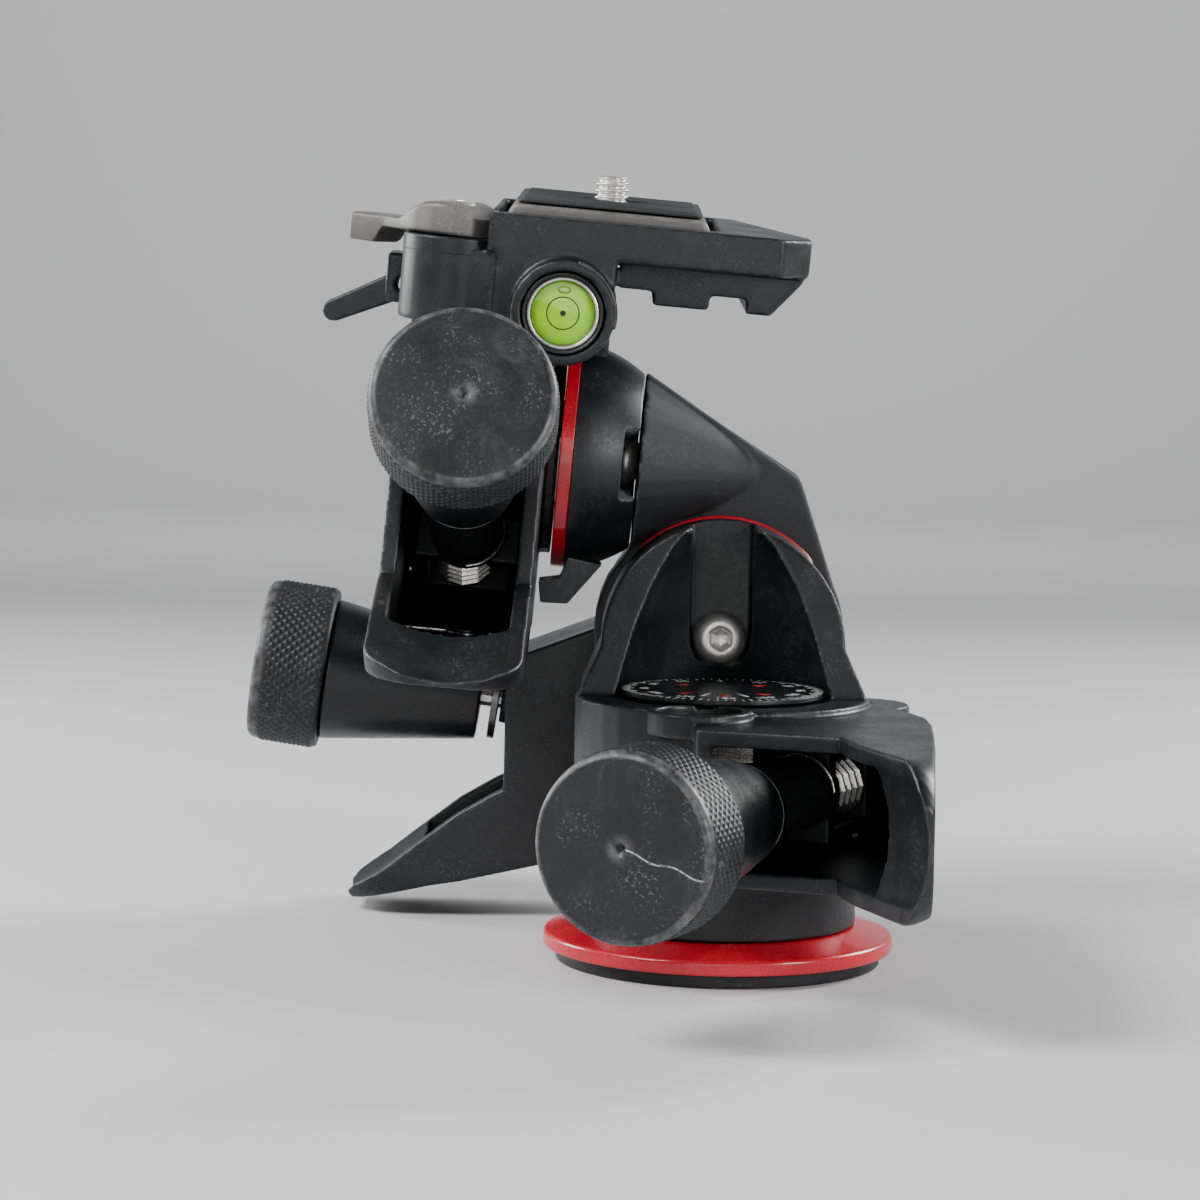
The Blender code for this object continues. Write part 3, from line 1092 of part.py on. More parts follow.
def make_clamp_lever():
    """The zinc lever on its boss, with a dropped thumb end, and its screw."""
    seat = LEVER_BOSS_TOP + CLEARANCE
    away = Vector(LEVER_TIP) - Vector(LEVER_BOSS)
    heading = math.degrees(math.atan2(away.y, away.x))
    outline = arc((0, 0), LEVER_BOSS_RADIUS - LEVER_CROWN, heading + 70, heading + 290, 14)
    outline += arc(tuple(away), LEVER_TIP_RADIUS, heading - 80, heading + 80, 8)
    place = head_place(*LEVER_BOSS)
    lever = prism("clamp_lever", outline, seat, seat + LEVER_THICKNESS, ZINC, place)
    round_edges(lever, LEVER_CROWN)
    tip = head_place(*LEVER_TIP)
    join(lever, rod("lever tip", LEVER_TIP_RADIUS - CLEARANCE, seat - LEVER_TIP_DROP,
                    seat + LEVER_THICKNESS / 2, ZINC, tip, 20, CUTTERS))
    head = LEVER_SCREW_RADIUS + LEVER_SCREW_RADIUS
    crest = seat + LEVER_THICKNESS
    rest_floor = seat + LEVER_THICKNESS * LEVER_SEAT_SHARE
    cut(lever, rod("lever screw seat", head + CLEARANCE, rest_floor, crest + OVERRUN, ZINC, place, 20,
                   CUTTERS))
    cut(lever, rod("lever bore", LEVER_SCREW_RADIUS + CLEARANCE, 0, crest, ZINC, place, 12, CUTTERS))
    top = crest - CLEARANCE
    rest = rest_floor + CLEARANCE
    foot = LEVER_BOSS_LOW + OVERRUN + CLEARANCE
    shank = LEVER_SCREW_RADIUS
    screw = [(0, top), (head, top), (head, rest), (shank, rest), (shank, foot), (0, foot)]
    turned("lever_screw", screw, STEEL, place, 16)


def make_safety_catch():
    """The small sprung catch beside the lever, and its pin."""
    outline = arc((0, 0), CATCH_ROOT_RADIUS, -40, 120, 6)
    outline += arc((-CATCH_REACH + CATCH_TIP_RADIUS, -CATCH_DROP), CATCH_TIP_RADIUS, 100, 290, 7)
    catch = prism("safety_catch", outline, -CATCH_HALF, CATCH_HALF, BLACK_CASTING, catch_axis(),
                  holes=[arc((0, 0), CATCH_PIN_RADIUS + CLEARANCE, 0, 330, 11)])
    round_edges(catch, CATCH_EDGE)
    reach = CATCH_HALF + LUG_WIDTH - CLEARANCE
    rod("catch_pin", CATCH_PIN_RADIUS, -reach, reach, STEEL, catch_axis(), 12)


def make_plate():
    """The quick-release plate with its rubber pad and captive camera screw."""
    low = PLATE_SEAT + CLEARANCE
    wide = PLATE_WIDTH / 2
    narrow = PLATE_TOP_WIDTH / 2
    side = [(-wide, low), (wide, low), (wide, PLATE_EDGE), (narrow, PLATE_TOP), (-narrow, PLATE_TOP),
            (-wide, PLATE_EDGE)]
    place = head_place(PLATE_X)
    plate = prism("quick_plate", side, -PLATE_LENGTH / 2, PLATE_LENGTH / 2, ZINC, place @ FRONTAL)
    round_edges(plate, PAD_THICKNESS)
    shank = CAMERA_SCREW_RADIUS + CLEARANCE
    head = CAMERA_HEAD_RADIUS + CLEARANCE
    recess = low + CAMERA_HEAD_HEIGHT + CLEARANCE + CLEARANCE
    cut(plate, rod("camera screw bore", shank, 0, PLATE_TOP + OVERRUN, ZINC, place, 24, CUTTERS))
    cut(plate, rod("camera head room", head, 0, recess, ZINC, place, 28, CUTTERS))
    half_x = narrow - PAD_MARGIN
    half_y = PLATE_LENGTH / 2 - PAD_MARGIN
    pad = rounded_box(-half_x, half_x, -half_y, half_y, PAD_MARGIN)
    pad_low = PLATE_TOP + CLEARANCE
    prism("plate_pad", pad, pad_low, pad_low + PAD_THICKNESS, PAD_RUBBER, place,
          holes=[arc((0, 0), CAMERA_SCREW_RADIUS * PAD_HOLE_SHARE, 0, 345, 23)])
    tip = CAMERA_SCREW_TOP
    edge = CAMERA_SCREW_RADIUS * CAMERA_SCREW_EDGE_SHARE
    seat = recess - CLEARANCE
    screw = [(0, tip), (CAMERA_SCREW_RADIUS - edge, tip), (CAMERA_SCREW_RADIUS, tip - edge),
             (CAMERA_SCREW_RADIUS, seat), (CAMERA_HEAD_RADIUS, seat), (CAMERA_HEAD_RADIUS, low), (0, low)]
    camera_screw = turned("camera_screw", screw, STEEL, place, 28)
    slot = CAMERA_SCREW_RADIUS * CAMERA_SLOT_SHARE
    slot_low = (-CAMERA_HEAD_RADIUS, -slot, 0)
    slot_high = (CAMERA_HEAD_RADIUS, slot, low + CAMERA_HEAD_HEIGHT / 2)
    cut(camera_screw, block("camera screw slot", slot_low, slot_high, STEEL, place, CUTTERS))


def make_head():
    """The tilt head with everything it carries."""
    make_platform()
    make_pitch_frame()
    make_level("head_level", head_place(*LEVEL_PLACE) @ FRONTAL)
    make_clamp_lever()
    make_safety_catch()
    make_plate()


def weld_cut_pieces():
    """Close the hairline seams that cuts leave, with a weld far finer than any gap."""
    for piece in MODEL.objects:
        if any(change.type == "BOOLEAN" for change in piece.modifiers):
            seams = piece.modifiers.new("Weld", "WELD")
            seams.merge_threshold = CLEARANCE * WELD_SHARE


def main():
    """Build the whole head."""
    clear_scene()
    for drive in DRIVES:
        make_drive(drive)
    make_base()
    make_pan_housing()
    make_level("pan_level", Matrix.Translation((*PAN_LEVEL, SHELF_HEIGHT + LEVEL_LIP)))
    make_roll_frame()
    make_arm()
    make_pitch_housing()
    make_roll_joint()
    make_pitch_joint()
    make_head()
    weld_cut_pieces()


main()
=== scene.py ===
# %% [markdown]
# # A geared tripod head, dressed for the studio
# The frame holds the measured solids of the head. Each step below looks at one piece of the real
# object, says how it could be made, and then makes it where the frame says it is.

# %% Load the frame
import json
import math
from itertools import accumulate

import bmesh
import bpy
import numpy as np
from mathutils import Matrix, Vector


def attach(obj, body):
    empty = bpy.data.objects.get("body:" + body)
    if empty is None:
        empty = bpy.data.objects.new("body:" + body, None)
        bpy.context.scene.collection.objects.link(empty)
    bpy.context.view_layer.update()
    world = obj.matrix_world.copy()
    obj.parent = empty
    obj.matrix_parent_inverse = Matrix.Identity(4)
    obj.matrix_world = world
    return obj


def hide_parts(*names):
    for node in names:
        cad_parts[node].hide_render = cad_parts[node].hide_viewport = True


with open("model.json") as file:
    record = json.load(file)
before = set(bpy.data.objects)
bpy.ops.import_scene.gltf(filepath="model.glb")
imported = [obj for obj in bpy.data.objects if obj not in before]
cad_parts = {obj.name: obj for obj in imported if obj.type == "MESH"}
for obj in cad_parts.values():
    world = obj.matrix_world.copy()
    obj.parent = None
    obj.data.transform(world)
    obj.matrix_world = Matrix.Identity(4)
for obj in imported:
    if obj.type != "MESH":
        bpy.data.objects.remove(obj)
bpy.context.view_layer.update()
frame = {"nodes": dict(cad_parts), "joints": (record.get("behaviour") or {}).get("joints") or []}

JOINTS = {joint["name"]: joint for joint in frame["joints"]}
NODES = frame["nodes"]
DRIVE_NAMES = ("pan", "roll", "pitch")

# %% [markdown]
# ## Spaces
# A geared head is easiest to describe in its own spaces: one for each worm drive, one on the roll
# axis, one on the pitch axis and one for the tilting head. The joints of the frame give each of them,
# so that no angle has to be measured again. A space is a 4 by 4 matrix whose columns are its axes.

# %% Spaces from the joints
MM = 0.001
PITCH_DRIVE_SETBACK = 49.75 * MM
ROLL_AXIS_HEIGHT = 58 * MM


def space(x_axis, y_axis, z_axis, origin):
    """A 4 by 4 matrix: the three axes and the origin are its columns."""
    matrix = np.eye(4)
    matrix[:3, :4] = np.column_stack([x_axis, y_axis, z_axis, origin])
    return matrix


def drive_space(drive):
    """X toward the knob, Y away from the wheel, Z along the wheel's axis, from two joints' axes."""
    toward = np.array(JOINTS[f"{drive}_knob_spin"]["axis"], float)
    axle = np.array(JOINTS[f"{drive}_release"]["axis"], float)
    return space(toward, np.cross(axle, toward), axle, JOINTS[f"{drive}_knob_spin"]["pos_m"])


def turned_space(placement, order, shift=(0, 0, 0)):
    """The same space with its axes in another order, its origin moved along the old axes."""
    moved = placement.copy()
    moved[:3, 3] += placement[:3, :3] @ np.array(shift, float)
    moved[:3, :3] = placement[:3, :3][:, order]
    return moved


WORLD = np.eye(4)
DRIVES = {drive: drive_space(drive) for drive in DRIVE_NAMES}
WORMS = {drive: turned_space(DRIVES[drive], [1, 2, 0]) for drive in DRIVE_NAMES}
Y_AXIS = np.array([0.0, 1.0, 0.0])
ARM_X = np.array(JOINTS["pitch_tilt"]["axis"], float)
ARM_Z = np.cross(ARM_X, Y_AXIS)
PITCH_CENTRE = np.array(JOINTS["pitch_tilt"]["pos_m"], float) + PITCH_DRIVE_SETBACK * ARM_X
PITCH_AXIS = space(Y_AXIS, ARM_Z, ARM_X, PITCH_CENTRE)
HEAD_Z = np.array(JOINTS["plate_lift"]["axis"], float)
HEAD = space(ARM_X, np.cross(HEAD_Z, ARM_X), HEAD_Z, PITCH_CENTRE)
ROLL_AXIS = space((1, 0, 0), (0, 0, 1), (0, -1, 0), (0, 0, ROLL_AXIS_HEIGHT))
ARM_FRONT = space(ARM_X, ARM_Z, (0, -1, 0), (0, 0, ROLL_AXIS_HEIGHT))
print("pitch axis centre", PITCH_CENTRE.round(4))


def placed(points, placement):
    """Points of a space as world points: the matrix times each point."""
    points = np.asarray(points, float)
    return points @ placement[:3, :3].T + placement[:3, 3]


# %% [markdown]
# ## The camera
# The photograph was taken from just above the pan knob with a long lens, so that the head hardly
# tapers. The lens and the tilt were fitted to the ellipses of the base ring and of the dial. A small
# shift keeps the frame where the photograph has it.

# %% Camera
CAMERA_PLACE = (-0.023, -0.640, 0.121)
CAMERA_DOWN = math.radians(4.45)
CAMERA_ROLL = math.radians(1.0)
CAMERA_LENS = 104.4
CAMERA_SHIFT = -0.0217

forward = np.array([0, math.cos(CAMERA_DOWN), -math.sin(CAMERA_DOWN)])
level_right = np.array([1.0, 0, 0])
level_up = np.cross(level_right, forward)
right = level_right * math.cos(CAMERA_ROLL) + level_up * math.sin(CAMERA_ROLL)
upward = level_up * math.cos(CAMERA_ROLL) - level_right * math.sin(CAMERA_ROLL)
lens = bpy.data.cameras.new("Camera")
lens.lens = CAMERA_LENS
lens.sensor_width = 36
lens.sensor_fit = "HORIZONTAL"
lens.shift_y = CAMERA_SHIFT
camera = bpy.data.objects.new("Camera", lens)
camera.matrix_world = Matrix(space(right, upward, -forward, CAMERA_PLACE).tolist())
bpy.context.scene.collection.objects.link(camera)
bpy.context.scene.camera = camera

# %% [markdown]
# ## Surfaces from arrays
# Most pieces are a grid of points: one direction runs along a profile, the other round an axis. The
# points are worked out as whole arrays and then handed to the mesh. A grid that runs round is closed
# onto its first column, and a row that shrinks to one point is merged to a pole.

# %% Grid to mesh
MERGE = 0.001 * MM


def mesh_from(name, points, quads, attributes=None, uv=None):
    """A mesh from arrays of points and quads, its doubles merged and its faces turned outwards."""
    mesh = bpy.data.meshes.new(name)
    mesh.from_pydata(np.asarray(points).tolist(), [], np.asarray(quads).tolist())
    for key, values in (attributes or {}).items():
        mesh.attributes.new(key, "FLOAT", "POINT").data.foreach_set("value",
                                                                    np.asarray(values, float).ravel())
    if uv is not None:
        corners = np.empty(len(mesh.loops), np.int32)
        mesh.loops.foreach_get("vertex_index", corners)
        mesh.uv_layers.new(name="face").data.foreach_set("uv", np.asarray(uv)[corners].ravel())
    form = bmesh.new()
    form.from_mesh(mesh)
    bmesh.ops.remove_doubles(form, verts=form.verts, dist=MERGE)
    bmesh.ops.recalc_face_normals(form, faces=form.faces)
    form.to_mesh(mesh)
    form.free()
    mesh.shade_smooth()
    return mesh


def grid_quads(rows, columns, wrap_rows=False, wrap_columns=True):
    """Corner numbers of each quad of a grid: a point, the next in its row, and the two above them."""
    row = np.arange(rows if wrap_rows else rows - 1)[:, None]
    column = np.arange(columns if wrap_columns else columns - 1)[None, :]
    after_row = (row + 1) % rows
    after = (column + 1) % columns
    corners = [row * columns + column, row * columns + after, after_row * columns + after,
               after_row * columns + column]
    return np.stack(np.broadcast_arrays(*corners), axis=-1).reshape(-1, 4)


def add_piece(name, mesh, material, body, node=None):
    """Link a mesh as a piece that rides a body, stands for a node and takes a slot's finish."""
    piece = bpy.data.objects.new(name, mesh)
    mesh.materials.clear()
    mesh.materials.append(material)
    bpy.context.scene.collection.objects.link(piece)
    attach(piece, body)
    if node:
        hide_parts(node)
    print(f"{name}: {len(mesh.polygons)} faces on {body}")
    return piece


def soft_corners(profile, radius, steps=5):
    """A profile whose corners are curves: each corner is a quadratic blend between points a radius away.

    A further point half a radius on holds the flats flat, so that smooth shading stays on the corner.
    """
    profile = np.asarray(profile, float)
    before, corner, after = profile[:-2], profile[1:-1], profile[2:]
    blend = np.linspace(0, 1, steps)[:, None, None]

    def toward(other):
        """A step from each corner to its neighbour, at most a third of the way."""
        away = other - corner
        length = np.linalg.norm(away, axis=1, keepdims=True)
        return away / length * np.minimum(radius, length / 3)
    back, ahead = toward(before), toward(after)
    curve = ((1 - blend) ** 2 * (corner + back) + 2 * blend * (1 - blend) * corner
             + blend ** 2 * (corner + ahead))
    curve = np.concatenate([(corner + 1.4 * back)[None], curve, (corner + 1.4 * ahead)[None]])
    inner = curve.transpose(1, 0, 2).reshape(-1, profile.shape[1])
    return np.concatenate([profile[:1], inner, profile[-1:]])


def lathe(profile, placement, steps=144):
    """A turned surface: a profile point (radius, height) goes round the axis by cosine and sine."""
    profile = np.asarray(profile, float)
    turn = np.linspace(0, math.tau, steps, endpoint=False)
    radius, height = profile[:, :1], profile[:, 1:]
    points = np.stack([radius * np.cos(turn), radius * np.sin(turn), height + 0 * turn], axis=-1)
    return placed(points.reshape(-1, 3), placement), grid_quads(len(profile), steps)


def turned_piece(name, profile, placement, material, body, node, radius=0.3 * MM, closed=False,
                 steps=144):
    """A turned piece with soft corners. A closed profile is a ring that comes back to its start."""
    profile = np.asarray(profile, float)
    if closed:
        middle = (profile[0] + profile[-1]) / 2
        profile = np.concatenate([[middle], profile, [middle]])
    points, quads = lathe(soft_corners(profile, radius), placement, steps)
    return add_piece(name, mesh_from(name, points, quads), material, body, node)


# %% [markdown]
# ## Shader building blocks
# Every finish is a small node tree. The effects that several finishes share, which are fine grain,
# rubbed edges, scratches and dust, are groups that put out colours, masks and heights, and each
# material sets its own numbers on them.

# %% Node helpers
def put(tree, kind, values=None, **settings):
    """A node with its settings and inputs. An input is a number, a colour or another node's socket."""
    node = tree.nodes.new(kind)
    for key, value in settings.items():
        setattr(node, key, value)
    for key, value in (values or {}).items():
        if isinstance(value, bpy.types.NodeSocket):
            tree.links.new(value, node.inputs[key])
        else:
            node.inputs[key].default_value = value
    return node


def calc(tree, operation, first, second=0.0, clamp=False):
    """A math node's result."""
    return put(tree, "ShaderNodeMath", {0: first, 1: second}, operation=operation,
               use_clamp=clamp).outputs[0]


def band(tree, value, low, high, out_low=0.0, out_high=1.0):
    """A value carried from one range to another with soft ends."""
    values = {"Value": value, "From Min": low, "From Max": high, "To Min": out_low, "To Max": out_high}
    return put(tree, "ShaderNodeMapRange", values, interpolation_type="SMOOTHSTEP").outputs[0]


def mixed(tree, share, first, second):
    """A blend of two colours."""
    return put(tree, "ShaderNodeMix", {0: share, 6: first, 7: second}, data_type="RGBA").outputs[2]


def noise(tree, where, scale, detail=2.0, roughness=0.5, distortion=0.0):
    """A noise texture's value."""
    values = {"Vector": where, "Scale": scale, "Detail": detail, "Roughness": roughness,
              "Distortion": distortion}
    return put(tree, "ShaderNodeTexNoise", values).outputs[0]


def object_place(tree, scale=(1, 1, 1), turn=(0, 0, 0)):
    """Object coordinates, stretched and turned."""
    source = put(tree, "ShaderNodeTexCoord").outputs["Object"]
    return put(tree, "ShaderNodeMapping", {"Vector": source, "Rotation": turn, "Scale": scale}).outputs[0]


def new_group(name, inputs, outputs):
    """A shader node group with its sockets; each input is a name with its kind and start value."""
    tree = bpy.data.node_groups.new(name, "ShaderNodeTree")
    for label, (kind, value) in inputs.items():
        socket = tree.interface.new_socket(label, in_out="INPUT", socket_type=f"NodeSocket{kind}")
        socket.default_value = value
    for label, kind in outputs.items():
        tree.interface.new_socket(label, in_out="OUTPUT", socket_type=f"NodeSocket{kind}")
    return tree, put(tree, "NodeGroupInput").outputs, put(tree, "NodeGroupOutput").inputs


# %% Scratch group
def scratch_group():
    """Thin scratches: noise stretched forty times makes streaks, and only its peaks are kept.

    Three directions are laid over each other, and a slow noise breaks them up.
    """
    tree, given, result = new_group(
        "Scratches", {"Scale": ("Float", 1700.0), "Amount": ("Float", 0.5)}, {"Mask": "Float"})
    total = None
    for turn in ((0.3, 0.2, 0.5), (1.9, 0.7, 2.2), (0.8, 2.4, 1.1)):
        where = object_place(tree, (1, 0.035, 1), turn)
        streak = noise(tree, where, given["Scale"], 1.0, 0.5)
        mask = band(tree, streak, 0.63, 0.72)
        total = mask if total is None else calc(tree, "MAXIMUM", total, mask)
    patches = band(tree, noise(tree, object_place(tree), 120.0, 2.0), 0.42, 0.68)
    mask = calc(tree, "MULTIPLY", calc(tree, "MULTIPLY", total, patches), given["Amount"], True)
    tree.links.new(mask, result["Mask"])
    return tree


SCRATCHES = scratch_group()


# %% Paint group
def paint_group():
    """Paint on a casting: fine grain in colour, gloss and height, edges rubbed light, a little dust.

    The rubbed edges come from the attribute named wear, which each casting's mesh carries; on the spring wire the
    same attribute carries painted light.
    """
    inputs = {"Colour": ("Color", (0.02, 0.022, 0.025, 1)), "Worn": ("Color", (0.2, 0.21, 0.22, 1)),
              "Roughness": ("Float", 0.45), "Grain": ("Float", 1800.0), "Grain depth": ("Float", 0.3),
              "Wear": ("Float", 0.7), "Dust": ("Float", 0.3), "Scratch": ("Float", 0.3),
              "Scuff": ("Float", 0.1)}
    tree, given, result = new_group("Casting paint", inputs, {"Colour": "Color", "Roughness": "Float",
                                                              "Height": "Float"})
    where = object_place(tree)
    grain = noise(tree, where, given["Grain"], 3.0, 0.6)
    mottle = noise(tree, where, 60.0, 3.0, 0.6)
    wear = put(tree, "ShaderNodeAttribute", attribute_name="wear").outputs["Fac"]
    broken = band(tree, noise(tree, where, 420.0, 4.0, 0.65), 0.30, 0.75)
    # rubbed edges lighten the paint; on the spring wire this same share is painted light
    rub_and_painted_light = calc(tree, "MULTIPLY", calc(tree, "MULTIPLY", wear, broken), given["Wear"], True)
    lines = put(tree, "ShaderNodeGroup", node_tree=SCRATCHES)
    tree.links.new(given["Scratch"], lines.inputs["Amount"])
    speck = band(tree, noise(tree, where, 2600.0, 2.0, 0.7), 0.66, 0.74)
    dust = calc(tree, "MULTIPLY", calc(tree, "MULTIPLY", speck, band(tree, mottle, 0.4, 0.7)),
                given["Dust"])
    haze = calc(tree, "MULTIPLY", band(tree, noise(tree, where, 150.0, 5.0, 0.7, 1.2), 0.50, 0.78),
                given["Scuff"])
    light = calc(tree, "MAXIMUM", calc(tree, "MAXIMUM", rub_and_painted_light, lines.outputs["Mask"]), dust, True)
    light = calc(tree, "MAXIMUM", light, haze, True)
    shade = band(tree, mottle, 0.2, 0.8, 0.82, 1.22)
    toned = put(tree, "ShaderNodeVectorMath", {0: given["Colour"], "Scale": shade},
                operation="SCALE").outputs[0]
    tree.links.new(mixed(tree, light, toned, given["Worn"]), result["Colour"])
    gloss = calc(tree, "ADD", given["Roughness"], band(tree, grain, 0.3, 0.7, -0.05, 0.05))
    gloss = calc(tree, "ADD", gloss, band(tree, mottle, 0.3, 0.7, -0.06, 0.08))
    tree.links.new(calc(tree, "SUBTRACT", gloss, calc(tree, "MULTIPLY", rub_and_painted_light, 0.12), True),
                   result["Roughness"])
    height = calc(tree, "MULTIPLY", grain, given["Grain depth"])
    tree.links.new(calc(tree, "SUBTRACT", height, calc(tree, "MULTIPLY", lines.outputs["Mask"], 0.4)),
                   result["Height"])
    return tree


PAINT = paint_group()


# %% Brushed metal group
def metal_group():
    """Turned or rolled metal: fine stretched noise in gloss and colour, with darker stains."""
    inputs = {"Colour": ("Color", (0.6, 0.6, 0.6, 1)), "Stain": ("Color", (0.2, 0.18, 0.15, 1)),
              "Roughness": ("Float", 0.3), "Staining": ("Float", 0.3)}
    tree, given, result = new_group("Worked metal", inputs, {"Colour": "Color", "Roughness": "Float",
                                                             "Height": "Float"})
    where = object_place(tree)
    fine = noise(tree, object_place(tree, (1, 1, 6)), 1500.0, 3.0, 0.6)
    blot = band(tree, noise(tree, where, 260.0, 4.0, 0.6), 0.5, 0.75)
    stain = calc(tree, "MULTIPLY", blot, given["Staining"])
    tree.links.new(mixed(tree, stain, given["Colour"], given["Stain"]), result["Colour"])
    gloss = calc(tree, "ADD", given["Roughness"], band(tree, fine, 0.3, 0.7, -0.06, 0.08))
    tree.links.new(calc(tree, "ADD", gloss, calc(tree, "MULTIPLY", stain, 0.3), True), result["Roughness"])
    tree.links.new(fine, result["Height"])
    return tree


METAL = metal_group()


# %% Materials from the groups
def finish(name, group, values, bump=0.15, bump_depth=0.02 * MM, **sockets):
    """A Principled material whose colour, gloss and height come from a group."""
    material = bpy.data.materials.new(name)
    material.use_nodes = True
    tree = material.node_tree
    shader = tree.nodes["Principled BSDF"]
    for label, value in sockets.items():
        shader.inputs[label.replace("_", " ")].default_value = value
    effect = put(tree, "ShaderNodeGroup", node_tree=group)
    for label, value in values.items():
        effect.inputs[label].default_value = value
    tree.links.new(effect.outputs["Colour"], shader.inputs["Base Color"])
    tree.links.new(effect.outputs["Roughness"], shader.inputs["Roughness"])
    height = put(tree, "ShaderNodeBump", {"Strength": bump, "Distance": bump_depth,
                                          "Height": effect.outputs["Height"]})
    tree.links.new(height.outputs[0], shader.inputs["Normal"])
    return material


BLACK_CASTING = finish("Black casting paint", PAINT, {
    "Colour": (0.0058, 0.0070, 0.0086, 1), "Worn": (0.16, 0.17, 0.18, 1), "Roughness": 0.43,
    "Grain": 1500.0,
    "Grain depth": 0.5, "Wear": 0.60, "Dust": 0.40, "Scratch": 0.16, "Scuff": 0.07}, bump=0.35,
                       Specular_IOR_Level=0.42)
WORN_CASTING = finish("Rubbed casting paint", PAINT, {
    "Colour": (0.0075, 0.0085, 0.0100, 1), "Worn": (0.50, 0.52, 0.54, 1), "Roughness": 0.46,
    "Grain": 1500.0,
    "Grain depth": 0.8, "Wear": 1.0, "Dust": 0.50, "Scratch": 0.16, "Scuff": 0.07}, bump=0.45,
                      Specular_IOR_Level=0.42)
GREY_CASTING = finish("Textured grey paint", PAINT, {
    "Colour": (0.0145, 0.0155, 0.0175, 1), "Worn": (0.20, 0.21, 0.22, 1), "Roughness": 0.56,
    "Grain": 1300.0,
    "Grain depth": 1.0, "Wear": 0.70, "Dust": 0.85, "Scratch": 0.05, "Scuff": 0.03}, bump=0.8,
                      Specular_IOR_Level=0.45)
KNOB_RUBBER = finish("Knurled knob plastic", PAINT, {
    "Colour": (0.0066, 0.0080, 0.0098, 1), "Worn": (0.15, 0.165, 0.18, 1), "Roughness": 0.50,
    "Grain": 1900.0,
    "Grain depth": 0.6, "Wear": 0.72, "Dust": 0.08, "Scratch": 0.42, "Scuff": 0.16}, bump=0.3,
                     Specular_IOR_Level=0.45)
BARREL = finish("Satin barrel plastic", PAINT, {
    "Colour": (0.0045, 0.0052, 0.0062, 1), "Worn": (0.08, 0.09, 0.10, 1), "Roughness": 0.34,
    "Grain": 2200.0,
    "Grain depth": 0.3, "Wear": 0.4, "Dust": 0.15, "Scratch": 0.22, "Scuff": 0.05}, bump=0.2)
RED_RING = finish("Red anodised aluminium", PAINT, {
    "Colour": (0.500, 0.004, 0.017, 1), "Worn": (0.62, 0.22, 0.22, 1), "Roughness": 0.27, "Grain": 2500.0,
    "Grain depth": 0.15, "Wear": 0.5, "Dust": 0.15, "Scratch": 0.18, "Scuff": 0.02}, bump=0.1,
                  Coat_Weight=0.25)
DIAL_BLACK = finish("Black dial plate", PAINT, {
    "Colour": (0.006, 0.007, 0.008, 1), "Worn": (0.09, 0.09, 0.10, 1), "Roughness": 0.33, "Grain": 2500.0,
    "Grain depth": 0.2, "Wear": 0.3, "Dust": 0.3, "Scratch": 0.25, "Scuff": 0.10}, bump=0.15)
PAD_RUBBER = finish("Pad rubber", PAINT, {
    "Colour": (0.014, 0.015, 0.016, 1), "Worn": (0.10, 0.10, 0.10, 1), "Roughness": 0.75, "Grain": 1500.0,
    "Grain depth": 0.8, "Wear": 0.2, "Dust": 0.6, "Scratch": 0.0, "Scuff": 0.10}, bump=0.5)
STEEL = finish("Bright steel", METAL, {
    "Colour": (0.66, 0.65, 0.63, 1), "Stain": (0.22, 0.19, 0.16, 1), "Roughness": 0.24, "Staining": 0.35},
    bump=0.12, Metallic=1.0)
SATIN_STEEL = finish("Satin screw steel", METAL, {
    "Colour": (0.74, 0.73, 0.71, 1), "Stain": (0.42, 0.39, 0.35, 1), "Roughness": 0.36, "Staining": 0.22},
    bump=0.10, Metallic=0.85)
OILED_STEEL = finish("Oiled steel", METAL, {
    "Colour": (0.13, 0.13, 0.14, 1), "Stain": (0.04, 0.035, 0.03, 1), "Roughness": 0.28, "Staining": 0.6},
    bump=0.15, Metallic=1.0)
# The spring wire's Worn colour is painted light: the wire is dark at the coil and brightens toward its run, hook
# and foot.
WIRE_WITH_PAINTED_LIGHT = finish("Spring wire with painted light and shade", PAINT, {
    "Colour": (0.035, 0.036, 0.038, 1), "Worn": (0.62, 0.61, 0.59, 1), "Roughness": 0.34, "Grain": 2500.0,
    "Grain depth": 0.2, "Wear": 1.6, "Dust": 0.05, "Scratch": 0.10, "Scuff": 0.05}, bump=0.15, Metallic=1.0)
BRASS = finish("Oiled gear brass", METAL, {
    "Colour": (0.20, 0.13, 0.055, 1), "Stain": (0.05, 0.03, 0.015, 1), "Roughness": 0.38, "Staining": 0.6},
    bump=0.15, Metallic=1.0)
PLATE_METAL = finish("Grey die-cast plate", PAINT, {
    "Colour": (0.115, 0.112, 0.108, 1), "Worn": (0.42, 0.41, 0.40, 1), "Roughness": 0.46, "Grain": 1500.0,
    "Grain depth": 0.8, "Wear": 0.90, "Dust": 0.5, "Scratch": 0.20, "Scuff": 0.06}, bump=0.5, Metallic=0.25)
BEZEL = finish("Pale bezel metal", METAL, {
    "Colour": (0.72, 0.70, 0.66, 1), "Stain": (0.30, 0.26, 0.20, 1), "Roughness": 0.30, "Staining": 0.35},
    bump=0.10, Metallic=0.9)
print("materials", len(bpy.data.materials))

# %% [markdown]
# ## Castings
# The body, the frames, the arm and the platform are die castings: every edge has a small radius, and
# inner corners are filled. Bevelling a cut solid edge by edge fails where many cuts meet, so a copy
# of the solid is rebuilt from fine voxels and smoothed a little, which rounds all its edges at once.
# The mesh then knows how sharp it is at each point, and that is kept as the attribute named wear.

